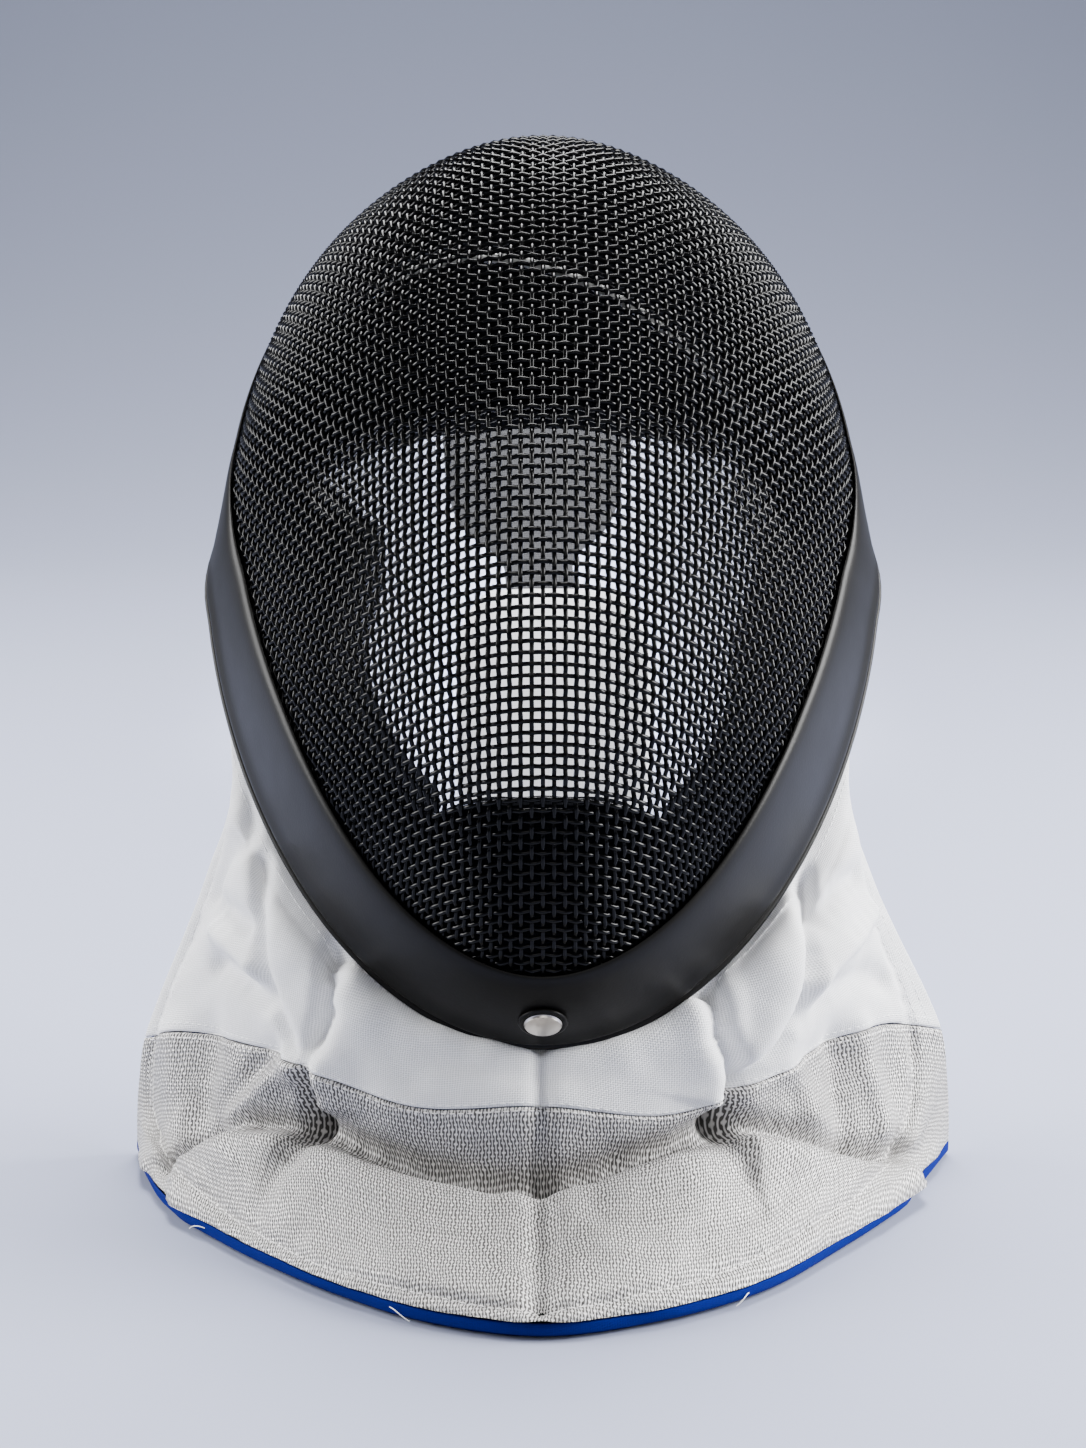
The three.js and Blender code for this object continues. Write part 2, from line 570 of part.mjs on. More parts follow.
/** The padded plate at the tongue's end: a rounded, domed panel in front of the strip. */
function tonguePlate() {
  const height = PLATE.top - PLATE.bottom;
  const rows = 10;
  const columns = 8;
  const front = [];
  const back = [];
  for (let i = 0; i <= rows; i += 1) {
    const v = -Math.cos((i / rows) * Math.PI);
    const width = PLATE.half * (1 - Math.abs(v) ** 5 * 0.35);
    const z = PLATE.bottom + (height * (1 + v)) / 2;
    const y = PLATE.front + (z - PLATE.bottom) * PLATE.lean;
    front.push([]);
    back.push([]);
    for (let j = 0; j <= columns; j += 1) {
      const u = -Math.cos((j / columns) * Math.PI);
      const swell = Math.sqrt((1 - Math.abs(u) ** 6) * (1 - Math.abs(v) ** 6));
      const x = PLATE.centre + u * width;
      const half = 1.2 + (PLATE.thickness / 2 - 1.2) * swell;
      const bow = 4 * u * u;
      front[i].push(new THREE.Vector3(x, y - half - bow, z));
      back[i].push(new THREE.Vector3(x, y + half - bow, z));
    }
  }
  return piece('tongue_plate', wallGeometry(front, back), 0xe9e9e6, 0.9);
}

/** The domed rivet at the chin, seated on the trim band. */
function chinRivet() {
  const { line, along } = rimFrame(0);
  const seat = alongMeridian(line, RIVET.s);
  const wall = alongMeridian(line, RIVET.s + 2).sub(alongMeridian(line, RIVET.s - 2)).normalize();
  const out = along.clone().cross(wall).normalize();
  const { radius, dome, rim, washer } = RIVET;
  const profile = [
    [0, 0], [washer, 0], [washer, rim * 0.6], [radius, rim * 0.6], [radius, rim + 0.3],
    [radius * 0.82, rim + dome * 0.62], [radius * 0.45, rim + dome * 0.92], [0, rim + dome],
  ].map(([r, h]) => new THREE.Vector2(r, h));
  const geometry = new THREE.LatheGeometry(profile, 16);
  geometry.applyQuaternion(new THREE.Quaternion().setFromUnitVectors(new THREE.Vector3(0, 1, 0), out));
  const mesh = piece('chin_rivet', geometry, 0xb9b2a6, 0.3, 0.9);
  mesh.position.copy(seat.addScaledVector(out, FACE_GAP + SKIN_GAP + TRIM_SKIN));
  return mesh;
}

const mask = new THREE.Group();
mask.position.y = CENTRE_SHIFT;
mask.add(wireMesh(), trimBand(), ...pads(), ...bib(), tongueStrap(), tonguePlate(), chinRivet());

export default mask;
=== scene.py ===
"""Looks of the fencing mask: a woven wire bowl, rubber trim, pads, tongue and a padded cloth bib.

Shapes are worked out in millimetres in the CAD source's own frame. Most sizes are the CAD source's; the
wires, the pads' ends, the rivet, the folds and the hem differ, to match the photo more closely.
X is the mask's width, +Y points to the back and Z is up. In the bowl's tilted frame, b runs along
the rim plane from the chin to the back of the crown, a stands off that plane, and q is the share
of the half width, from -1 to 1. mesh_piece() turns millimetres into metres.
"""

import logging
import math
from collections.abc import Callable
from dataclasses import dataclass
from enum import Enum

import bpy
import numpy as np
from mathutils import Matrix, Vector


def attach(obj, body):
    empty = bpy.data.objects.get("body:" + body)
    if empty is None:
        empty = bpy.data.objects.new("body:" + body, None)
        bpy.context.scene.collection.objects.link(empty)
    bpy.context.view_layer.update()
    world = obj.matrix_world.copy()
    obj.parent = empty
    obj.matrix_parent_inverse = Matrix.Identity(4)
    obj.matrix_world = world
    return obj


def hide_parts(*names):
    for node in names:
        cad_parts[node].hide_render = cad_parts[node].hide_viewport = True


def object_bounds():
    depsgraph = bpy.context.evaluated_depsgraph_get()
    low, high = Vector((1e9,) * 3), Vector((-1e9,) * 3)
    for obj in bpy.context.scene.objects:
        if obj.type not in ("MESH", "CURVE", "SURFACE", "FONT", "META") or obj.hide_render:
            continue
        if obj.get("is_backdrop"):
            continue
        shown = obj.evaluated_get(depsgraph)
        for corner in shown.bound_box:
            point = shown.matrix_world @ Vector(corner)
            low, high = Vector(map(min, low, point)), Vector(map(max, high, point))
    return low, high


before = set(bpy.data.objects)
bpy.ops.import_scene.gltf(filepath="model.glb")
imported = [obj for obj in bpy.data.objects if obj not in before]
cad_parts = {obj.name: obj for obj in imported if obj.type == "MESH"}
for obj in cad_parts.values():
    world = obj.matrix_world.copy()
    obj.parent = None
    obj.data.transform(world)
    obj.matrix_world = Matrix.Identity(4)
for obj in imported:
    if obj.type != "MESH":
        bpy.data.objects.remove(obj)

LOG = logging.getLogger("mask")
MM = 0.001
CENTRE_SHIFT = 2.63
SEED = 7
NOISE_CELLS = 97
WANDER_SCALE = 0.11
GAP_WIDTH = 5.5
UNDER_DROP = 0.45
TONE_SHARES = (0.3, 0.25, 0.45)
GLINT_FROM = 0.93
Array = np.ndarray


# Small vector tools


def unit(vectors: Array) -> Array:
    """Vectors scaled to length 1 along the last axis."""
    return vectors / np.maximum(np.linalg.norm(vectors, axis=-1, keepdims=True), 1e-12)


def smooth_step(low: float, high: float, value: Array) -> Array:
    """0 under low, 1 over high, and 3t^2 - 2t^3 between them."""
    t = np.clip((value - low) / (high - low), 0, 1)
    return t * t * (3 - 2 * t)


def smooth_table(keys: Array, values: Array, at: Array) -> Array:
    """Read a short table with smooth steps between its rows.

    The curve is a cubic Hermite line whose slope at each row is that between its neighbours.

    Args:
        keys: Rising keys of the rows.
        values: One value for each key.
        at: Keys to read at.

    Returns:
        The values at those keys.
    """
    keys = np.asarray(keys, float)
    values = np.asarray(values, float)
    at = np.clip(at, keys[0], keys[-1])
    i = np.clip(np.searchsorted(keys, at, side="left") - 1, 0, len(keys) - 2)
    slopes = np.empty_like(values)
    slopes[1:-1] = (values[2:] - values[:-2]) / (keys[2:] - keys[:-2])
    slopes[0] = (values[1] - values[0]) / (keys[1] - keys[0])
    slopes[-1] = (values[-1] - values[-2]) / (keys[-1] - keys[-2])
    span = keys[i + 1] - keys[i]
    t = (at - keys[i]) / span
    ease = t * t * (3 - 2 * t)
    bend = t * (1 - t) ** 2 * slopes[i] + t * t * (t - 1) * slopes[i + 1]
    return values[i] + (values[i + 1] - values[i]) * ease + span * bend


def grid_normals(grid: Array) -> Array:
    """Normals of a grid of points, the cross product of its down and its along steps."""
    return unit(np.cross(np.gradient(grid, axis=0), np.gradient(grid, axis=1)))


def windows(field: Array, axis: int, reach: int) -> list[Array]:
    """A field moved by each count of steps from -reach to reach, with its edges held.

    Args:
        field: Values on a grid.
        axis: The axis that it moves along.
        reach: Steps to either side.

    Returns:
        The moved fields.
    """
    padded = np.pad(field, [(reach, reach) if k == axis else (0, 0) for k in (0, 1)], mode="edge")
    size = field.shape[axis]
    return [np.take(padded, range(k, k + size), axis=axis) for k in range(2 * reach + 1)]


def blurred(field: Array, steps: float) -> Array:
    """Blur a field along both axes.

    Args:
        field: Values on a grid.
        steps: Standard deviation of the Gaussian weights, in grid steps.

    Returns:
        The blurred field, with its edges held.
    """
    reach = int(3 * steps) + 1
    weights = np.exp(-0.5 * (np.arange(-reach, reach + 1) / steps) ** 2)
    weights /= weights.sum()
    for axis in (0, 1):
        field = sum(w * part for w, part in zip(weights, windows(field, axis, reach)))
    return field


def lowest(field: Array, reach: int) -> Array:
    """Lowest value of a field near each place, first along one axis, then the other.

    Args:
        field: Values on a grid.
        reach: Grid steps that it looks to either side.

    Returns:
        The lowest values.
    """
    for axis in (0, 1):
        field = np.minimum.reduce(windows(field, axis, reach))
    return field


def arc_length(path: Array, axis: int = 0) -> Array:
    """Distance along a grid of points from its first one, by steps along an axis."""
    steps = np.linalg.norm(np.diff(path, axis=axis), axis=-1)
    return np.concatenate([np.zeros_like(np.take(path, [0], axis=axis)[..., 0]), np.cumsum(steps, axis=axis)],
                          axis=axis)


def soft_noise(x: Array, y: Array, size: float, seed: int) -> Array:
    """Smooth noise over a plane: random values on a square grid, joined by smooth steps.

    Args:
        x: First coordinate.
        y: Second coordinate.
        size: Side of a square of the grid, in the coordinates' unit.
        seed: Seed of the random values.

    Returns:
        Values from -1 to 1.
    """
    table = np.random.default_rng(seed).uniform(-1, 1, (NOISE_CELLS, NOISE_CELLS))
    gx, gy = x / size, y / size
    ix, iy = np.floor(gx).astype(int), np.floor(gy).astype(int)
    fx, fy = gx - ix, gy - iy
    fx, fy = fx * fx * (3 - 2 * fx), fy * fy * (3 - 2 * fy)
    corner = lambda dx, dy: table[(ix + dx) % NOISE_CELLS, (iy + dy) % NOISE_CELLS]
    low = corner(0, 0) * (1 - fx) + corner(1, 0) * fx
    high = corner(0, 1) * (1 - fx) + corner(1, 1) * fx
    return low * (1 - fy) + high * fy


# Meshes


def mesh_piece(name: str, vertices: Array, faces: Array, material: bpy.types.Material, uv: Array = None,
               sharp: float = 180.0) -> bpy.types.Object:
    """Make a shown piece that rides on the mask's one body.

    Args:
        name: Name of the piece.
        vertices: Points in millimetres, in the source's frame.
        faces: Corners of each face, all with the same count.
        material: Its material.
        uv: Cloth coordinates in millimetres, one for each vertex.
        sharp: Angle in degrees past which an edge is drawn sharp.

    Returns:
        The object.
    """
    placed = (np.asarray(vertices, float).reshape(-1, 3) + (0, CENTRE_SHIFT, 0)) * MM
    mesh = bpy.data.meshes.new(name)
    mesh.from_pydata(placed.tolist(), [], np.asarray(faces).tolist())
    mesh.shade_smooth()
    if sharp < 180:
        mesh.set_sharp_from_angle(angle=math.radians(sharp))
    if uv is not None:
        layer = mesh.uv_layers.new(name="cloth")
        layer.data.foreach_set("uv", np.asarray(uv)[np.asarray(faces).ravel()].astype(np.float32).ravel())
    mesh.materials.append(material)
    obj = bpy.data.objects.new(name, mesh)
    bpy.context.scene.collection.objects.link(obj)
    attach(obj, "root")
    LOG.info("%s: %d vertices, %d faces", name, len(placed), len(faces))
    return obj


def quads(rows: int, columns: int, wrap: bool = False, first: int = 0) -> Array:
    """Faces of a grid of points in row order.

    Args:
        rows: Count of rows.
        columns: Points in a row.
        wrap: Whether each row closes on itself.
        first: Index of the grid's first point.

    Returns:
        Four corners for each face.
    """
    i, j = np.meshgrid(np.arange(rows - 1), np.arange(columns if wrap else columns - 1), indexing="ij")
    k = (j + 1) % columns
    corners = [i * columns + j, i * columns + k, (i + 1) * columns + k, (i + 1) * columns + j]
    return first + np.stack(corners, axis=-1).reshape(-1, 4)


def wall(outer: Array, inner: Array) -> tuple[Array, Array]:
    """Close two grids that face each other into one wall, round all four edges.

    Args:
        outer: Grid of points of the front face.
        inner: Grid of the same size for the back face.

    Returns:
        Its points and faces.
    """
    rows, columns = outer.shape[:2]
    size = rows * columns
    front = quads(rows, columns)
    back = quads(rows, columns, first=size)[:, ::-1]
    index = np.arange(size).reshape(rows, columns)
    loop = np.concatenate([index[0], index[1:, -1], index[-1, -2::-1], index[-2:0:-1, 0]])
    after = np.roll(loop, -1)
    rim = np.stack([after, loop, loop + size, after + size], axis=1)
    return np.concatenate([outer.reshape(-1, 3), inner.reshape(-1, 3)]), np.concatenate([front, back, rim])


def tubes(paths: Array, normals: Array, radius: float, sides: int) -> tuple[Array, Array]:
    """Round wires along many paths at once.

    The section is p + r (n cos k + s sin k), where n is the normal without its part along the
    wire and s = wire x n.

    Args:
        paths: Points of each wire, with nan where a wire isn't there.
        normals: Normals at the same points.
        radius: Radius of the wires.
        sides: Corners of the section.

    Returns:
        Their points and faces.
    """
    there = np.isfinite(paths[..., 0])
    step = np.nan_to_num(np.diff(paths, axis=1))
    pad = np.zeros_like(paths[:, :1])
    along = unit(np.concatenate([step, pad], axis=1) + np.concatenate([pad, step], axis=1))
    flat = unit(normals - along * (normals * along).sum(-1, keepdims=True))
    side = np.cross(along, flat)
    angle = 2 * np.pi * np.arange(sides) / sides
    ring = flat[..., None, :] * np.cos(angle)[:, None] + side[..., None, :] * np.sin(angle)[:, None]
    points = (paths[..., None, :] + radius * ring)[there].reshape(-1, 3)
    index = np.full(there.shape, -1)
    index[there] = np.arange(there.sum())
    joined = there[:, :-1] & there[:, 1:]
    low, high = index[:, :-1][joined], index[:, 1:][joined]
    k = np.arange(sides)
    after = (k + 1) % sides
    faces = np.stack([low[:, None] * sides + k, low[:, None] * sides + after,
                      high[:, None] * sides + after, high[:, None] * sides + k], axis=-1)
    return points, faces.reshape(-1, 4)


def spread_along(path: Array, normals: Array, pitch: float, start: float = 0.0) -> tuple[Array, Array, Array]:
    """Even places along a path.

    Args:
        path: Points of the path.
        normals: Normals at those points.
        pitch: Distance between places.
        start: Distance to the first place.

    Returns:
        Points, directions along the path, and normals there.
    """
    arc = arc_length(path)
    at = np.arange(start, arc[-1], pitch)
    read = lambda table, where: np.stack([np.interp(where, arc, table[:, c]) for c in range(3)], axis=1)
    direction = unit(read(path, np.minimum(at + 0.4, arc[-1])) - read(path, np.maximum(at - 0.4, 0)))
    return read(path, at), direction, unit(read(normals, at))


# Finishes


def node_link(tree: bpy.types.NodeTree, kind: str, inputs: dict, **settings: object) -> bpy.types.Node:
    """Add a node, set its options and fill its inputs.

    Args:
        tree: Node tree to add it to.
        kind: Blender's name of the node type.
        inputs: Socket name or number to a value or to another node's output.
        settings: Options of the node.

    Returns:
        The node.
    """
    node = tree.nodes.new(kind)
    for key, value in settings.items():
        setattr(node, key, value)
    for key, value in inputs.items():
        if isinstance(value, bpy.types.NodeSocket):
            tree.links.new(value, node.inputs[key])
        else:
            node.inputs[key].default_value = value
    return node


def calc(tree: bpy.types.NodeTree, operation: str, *values: object) -> bpy.types.NodeSocket:
    """One step of arithmetic in a shader, as its output."""
    return node_link(tree, "ShaderNodeMath", dict(enumerate(values)), operation=operation).outputs[0]


def new_group(name: str, inputs: list, outputs: list) -> tuple:
    """Start a shader node group.

    Args:
        name: Name of the group.
        inputs: Pairs of socket name and kind.
        outputs: Pairs of socket name and kind.

    Returns:
        The group's tree, its input node and its output node.
    """
    tree = bpy.data.node_groups.new(name, "ShaderNodeTree")
    for direction, sockets in (("INPUT", inputs), ("OUTPUT", outputs)):
        for label, kind in sockets:
            tree.interface.new_socket(name=label, in_out=direction, socket_type=f"NodeSocket{kind}")
    return tree, tree.nodes.new("NodeGroupInput"), tree.nodes.new("NodeGroupOutput")


def weave_group() -> bpy.types.NodeTree:
    """Plain weave: threads |sin| of each coordinate, over and under in turn; Slit lengthens the gaps.

    Returns:
        A group from cloth coordinates and pitches to Height, Gap, Tone and Glint, all 0 to 1.
    """
    floats = lambda *labels: [(label, "Float") for label in labels]
    tree, given, out = new_group(
        "weave", [("Vector", "Vector")] + floats("PitchX", "PitchY", "Wander", "Slit"),
        floats("Height", "Gap", "Tone", "Glint"),
    )
    do = lambda operation, *values: calc(tree, operation, *values)
    spot = given.outputs["Vector"]
    wobble = node_link(tree, "ShaderNodeTexNoise", {"Vector": spot, "Scale": WANDER_SCALE, "Detail": 2.0})
    vector = lambda operation, inputs: node_link(tree, "ShaderNodeVectorMath", inputs,
                                                 operation=operation).outputs[0]
    shift = vector("SUBTRACT", {0: wobble.outputs["Color"], 1: (0.5, 0.5, 0.5)})
    moved = vector("SCALE", {0: shift, "Scale": given.outputs["Wander"]})
    place = vector("ADD", {0: spot, 1: moved})
    split = node_link(tree, "ShaderNodeSeparateXYZ", {0: place})
    x = do("DIVIDE", split.outputs[0], given.outputs["PitchX"])
    y = do("DIVIDE", split.outputs[1], given.outputs["PitchY"])
    across, down = [do("ABSOLUTE", do("SINE", do("MULTIPLY", value, math.pi))) for value in (x, y)]
    whole_x, whole_y = do("FLOOR", x), do("FLOOR", y)
    turn = do("ABSOLUTE", do("MODULO", do("ADD", whole_x, whole_y), 2.0))
    raised = do("MULTIPLY", turn, UNDER_DROP)
    over = do("MULTIPLY", across, do("ADD", 1 - UNDER_DROP, raised))
    under = do("MULTIPLY", down, do("SUBTRACT", 1.0, raised))
    tree.links.new(do("MAXIMUM", over, under), out.inputs["Height"])
    open_x, open_y = do("SUBTRACT", 1.0, across), do("SUBTRACT", 1.0, down)
    tall = do("MAXIMUM", open_y, do("MULTIPLY", turn, given.outputs["Slit"]))
    hole = do("MULTIPLY", do("MULTIPLY", open_x, tall), GAP_WIDTH)
    tree.links.new(do("MINIMUM", hole, 1.0), out.inputs["Gap"])
    cell = node_link(tree, "ShaderNodeCombineXYZ", {0: whole_x, 1: whole_y})
    random = lambda inputs, size: node_link(tree, "ShaderNodeTexWhiteNoise", inputs,
                                            noise_dimensions=size).outputs["Value"]
    speck = random({"Vector": cell.outputs[0]}, "3D")
    row, column = random({"W": whole_y}, "1D"), random({"W": whole_x}, "1D")
    shares = [do("MULTIPLY", *pair) for pair in zip((row, column, speck), TONE_SHARES)]
    tree.links.new(do("ADD", do("ADD", shares[0], shares[1]), shares[2]), out.inputs["Tone"])
    tree.links.new(do("GREATER_THAN", speck, GLINT_FROM), out.inputs["Glint"])
    return tree


def wear_group() -> bpy.types.NodeTree:
    """Broad and fine mottling of a surface, from object coordinates.

    Returns:
        A group from coordinates and a scale to Broad and Fine, both 0 to 1.
    """
    tree, given, out = new_group("wear", [("Vector", "Vector"), ("Scale", "Float")],
                                 [("Broad", "Float"), ("Fine", "Float")])
    broad = node_link(tree, "ShaderNodeTexNoise",
                      {"Vector": given.outputs["Vector"], "Scale": given.outputs["Scale"], "Detail": 3.0})
    finer = calc(tree, "MULTIPLY", given.outputs["Scale"], 14.0)
    fine = node_link(tree, "ShaderNodeTexNoise",
                     {"Vector": given.outputs["Vector"], "Scale": finer, "Detail": 4.0})
    tree.links.new(broad.outputs[0], out.inputs["Broad"])
    tree.links.new(fine.outputs[0], out.inputs["Fine"])
    return tree


def raise_surface(tree: bpy.types.NodeTree, shader: bpy.types.Node, height: object, distance: float) -> None:
    """Bump a shader's normal by a height from 0 to 1 times a distance in metres."""
    bump = node_link(tree, "ShaderNodeBump", {"Height": height, "Distance": distance, "Strength": 1.0})
    tree.links.new(bump.outputs[0], shader.inputs["Normal"])


@dataclass(frozen=True)
class Finish:
    """A plain finish with a little mottling."""

    name: str
    colour: tuple
    roughness: float
    metallic: float = 0.0
    specular: float = 0.5
    sheen: float = 0.0
    mottle: float = 0.1
    relief: float = 0.0
    scale: float = 60.0

    def start(self) -> tuple:
        """A material with its Principled shader set from the fields.

        Returns:
            The material, its tree and its shader.
        """
        material = bpy.data.materials.new(self.name)
        material.use_nodes = True
        tree = material.node_tree
        shader = tree.nodes["Principled BSDF"]
        for socket, value in {
            "Base Color": (*self.colour, 1.0), "Roughness": self.roughness, "Metallic": self.metallic,
            "Specular IOR Level": self.specular, "Sheen Weight": self.sheen,
        }.items():
            shader.inputs[socket].default_value = value
        return material, tree, shader

    def material(self) -> bpy.types.Material:
        """The finished material.

        Roughness moves by the broad mottling and the fine noise is a low relief.

        Returns:
            The material.
        """
        material, tree, shader = self.start()
        spot = node_link(tree, "ShaderNodeTexCoord", {})
        wear = node_link(tree, "ShaderNodeGroup", {}, node_tree=GROUPS["wear"])
        tree.links.new(spot.outputs["Object"], wear.inputs["Vector"])
        wear.inputs["Scale"].default_value = self.scale
        change = calc(tree, "MULTIPLY", calc(tree, "SUBTRACT", wear.outputs["Broad"], 0.5), self.mottle * 2)
        tree.links.new(calc(tree, "ADD", change, self.roughness), shader.inputs["Roughness"])
        if self.relief:
            raise_surface(tree, shader, wear.outputs["Fine"], self.relief)
        return material


@dataclass(frozen=True)
class Cloth(Finish):
    """A woven finish on cloth coordinates in millimetres."""

    pitch: tuple = (1.0, 1.0)
    wander: float = 0.0
    slit: float = 0.0
    gap_colour: tuple = (0.2, 0.2, 0.2)
    gap_share: float = 0.5
    tone: float = 0.1
    thread: float = 0.0001
    glint: float = 0.0

    def material(self) -> bpy.types.Material:
        """The finished material: thread colour, darker gaps, tones of single threads and relief.

        Returns:
            The material.
        """
        material, tree, shader = self.start()
        spot = node_link(tree, "ShaderNodeTexCoord", {})
        weave = node_link(tree, "ShaderNodeGroup", {}, node_tree=GROUPS["weave"])
        tree.links.new(spot.outputs["UV"], weave.inputs["Vector"])
        given = {"PitchX": self.pitch[0], "PitchY": self.pitch[1], "Wander": self.wander, "Slit": self.slit}
        for label, value in given.items():
            weave.inputs[label].default_value = value
        gap = calc(tree, "MULTIPLY", weave.outputs["Gap"], self.gap_share)
        worn = node_link(tree, "ShaderNodeMix", {"Factor": weave.outputs["Tone"], "A": (*self.colour, 1.0),
                                                 "B": (*[c * (1 - self.tone) for c in self.colour], 1.0)},
                         data_type="RGBA")
        mixed = colour_mix(tree, gap, worn, (*self.gap_colour, 1.0))
        tree.links.new(mixed, shader.inputs["Base Color"])
        if self.glint:
            shine = calc(tree, "MULTIPLY", weave.outputs["Glint"], self.glint)
            rough = calc(tree, "SUBTRACT", self.roughness, calc(tree, "MULTIPLY", shine, 0.3))
            tree.links.new(rough, shader.inputs["Roughness"])
            metal = calc(tree, "ADD", self.metallic, calc(tree, "MULTIPLY", shine, 0.1))
            tree.links.new(metal, shader.inputs["Metallic"])
        raise_surface(tree, shader, weave.outputs["Height"], self.thread)
        return material


def colour_mix(tree: bpy.types.NodeTree, factor: object, first: bpy.types.Node,
               second: tuple) -> bpy.types.NodeSocket:
    """Mix a colour node's result with a set colour.

    Args:
        tree: The node tree.
        factor: Socket with the second colour's share.
        first: Node with the first colour.
        second: The second colour.

    Returns:
        The mixed colour's socket.
    """
    node = tree.nodes.new("ShaderNodeMix")
    node.data_type = "RGBA"
    colours = [socket for socket in node.inputs if socket.type == "RGBA"]
    tree.links.new(factor, node.inputs[0])
    tree.links.new([socket for socket in first.outputs if socket.type == "RGBA"][0], colours[0])
    colours[1].default_value = second
    return [socket for socket in node.outputs if socket.type == "RGBA"][0]


GROUPS: dict = {}


# The bowl


@dataclass(frozen=True)
class Bowl:
    """The mask's bowl, with the CAD source's sizes in millimetres."""

    tilt: float = 53.0
    chin_back: float = -60.3
    chin_up: float = 63.6
    low: float = 4.0
    high: float = 299.0
    widest: float = 169.0
    half: float = 106.0
    deepest: float = 155.0
    depth: float = 111.5
    ear_dip: float = 12.3
    wall: float = 2.2
    nose: float = 2.07
    pole: float = 150.0
    swell: float = 9.0
    swell_from: float = 148.0
    swell_to: float = 200.0
    tuck: float = 13.0
    tuck_from: float = 155.0
    tuck_to: float = 205.0

    @property
    def up_rim(self) -> Array:
        """Direction of b, along the rim plane."""
        return np.array([0, math.cos(math.radians(self.tilt)), math.sin(math.radians(self.tilt))])

    @property
    def off_rim(self) -> Array:
        """Direction of a, off the rim plane."""
        return np.array([0, -math.sin(math.radians(self.tilt)), math.cos(math.radians(self.tilt))])

    def half_width(self, b: Array) -> Array:
        """Half width: half (1 - u^1.6)^0.5 under the widest place and half (1 - u^2.35)^0.42 over it.

        Over the ears half itself grows by the swell, in one smooth step.

        Args:
            b: Place along the rim plane.

        Returns:
            The half width there.
        """
        half = self.half + self.swell * smooth_step(self.swell_from, self.swell_to, b)
        under = np.clip((self.widest - b) / (self.widest - self.low), 0, 1)
        over = np.clip((b - self.widest) / (self.high - self.widest), 0, 1)
        return half * np.where(b < self.widest, np.sqrt(1 - under**1.6), (1 - over**2.35) ** 0.42)

    def turned_in(self, b: Array, q: Array) -> Array:
        """How far the wall turns in: tuck x smooth step of b x |q|^10, less in the last 25 mm.

        Args:
            b: Place along the rim plane.
            q: Share of the half width.

        Returns:
            The distance, with the sign of q.
        """
        full = self.tuck * smooth_step(self.tuck_from, self.tuck_to, b)
        full = full * np.sqrt(np.clip((self.high - b) / 25, 0, 1))
        return full * np.minimum(1, np.abs(q)) ** 10 * np.sign(q)

    def crest(self, b: Array) -> Array:
        """Height of the centre line: depth (1 - u^2.4)^0.6 and depth (1 - u^1.58)^0.29.

        Args:
            b: Place along the rim plane.

        Returns:
            The height off the rim plane.
        """
        under = np.clip((self.deepest - b) / (self.deepest - self.low), 0, 1)
        over = np.clip((b - self.deepest) / (self.high - self.deepest), 0, 1)
        return self.depth * np.where(b < self.deepest, (1 - under**2.4) ** 0.6, (1 - over**1.58) ** 0.29)

    def point(self, b: Array, q: Array) -> Array:
        """Point of the outer surface.

        a = dip + (crest - dip) (1 - |q|^nose)^w, where the dip is a sine to the power 1.2 along b
        and w falls from 0.95 to 0.76 towards the crown.

        Args:
            b: Place along the rim plane.
            q: Share of the half width.

        Returns:
            Points with x, y and z on the last axis.
        """
        b, q = np.broadcast_arrays(np.asarray(b, float), np.asarray(q, float))
        share = np.clip((b - self.low) / (self.high - self.low), 0, 1)
        floor = -self.ear_dip * np.maximum(0, np.sin(np.pi * share)) ** 1.2
        power = 0.95 - 0.19 * np.clip((b - 100) / (self.high - 100), 0, 1)
        a = floor + (self.crest(b) - floor) * (1 - np.minimum(1, np.abs(q)) ** self.nose) ** power
        start = np.array([0, self.chin_back, self.chin_up])
        points = start + b[..., None] * self.up_rim + a[..., None] * self.off_rim
        points[..., 0] = q * self.half_width(b) - self.turned_in(b, q)
        return points

    def inset(self, b: Array, q: Array, depth: Array) -> Array:
        """Points at a depth inside the outer surface, along its normal from two small steps.

        Args:
            b: Place along the rim plane.
            q: Share of the half width.
            depth: Depth of each point.

        Returns:
            The points.
        """
        step = 0.01
        db = self.point(b + step, q) - self.point(b - step, q)
        dq = self.point(b, q + step) - self.point(b, q - step)
        return self.point(b, q) - np.asarray(depth)[..., None] * unit(np.cross(dq, db))

    def rim_b(self, theta: Array) -> Array:
        """Place along the rim at a turn, from 0 at the chin to pi at the crown's back."""
        return self.low + (self.high - self.low) * (1 - np.cos(theta)) / 2

    def meridians(self, theta: Array, steps: int = 160) -> tuple[Array, Array]:
        """Lines from the rim to the pole.

        Args:
            theta: Turns round the rim.
            steps: Steps of each line.

        Returns:
            Points of each line and the arc length at each.
        """
        b = self.rim_b(theta)
        reach = np.cos(np.arange(steps + 1) / steps * np.pi / 2)
        bi = self.pole + (b[:, None] - self.pole) * reach
        x = self.half_width(b) * np.sign(np.sin(theta))
        qi = np.clip(x[:, None] * reach / np.maximum(self.half_width(bi), 1e-6), -1, 1)
        points = self.point(bi, qi)
        return points, arc_length(points, axis=1)


def along_lines(points: Array, arc: Array, s: Array) -> Array:
    """Points of lines at arc distances.

    Args:
        points: Points of the lines.
        arc: Arc distance of each point.
        s: Where each line is read.

    Returns:
        One point for each line.
    """
    s = np.broadcast_to(s, (len(points),))
    rows = [[np.interp(s[k], arc[k], points[k, :, c]) for c in range(3)] for k in range(len(points))]
    return np.array(rows)


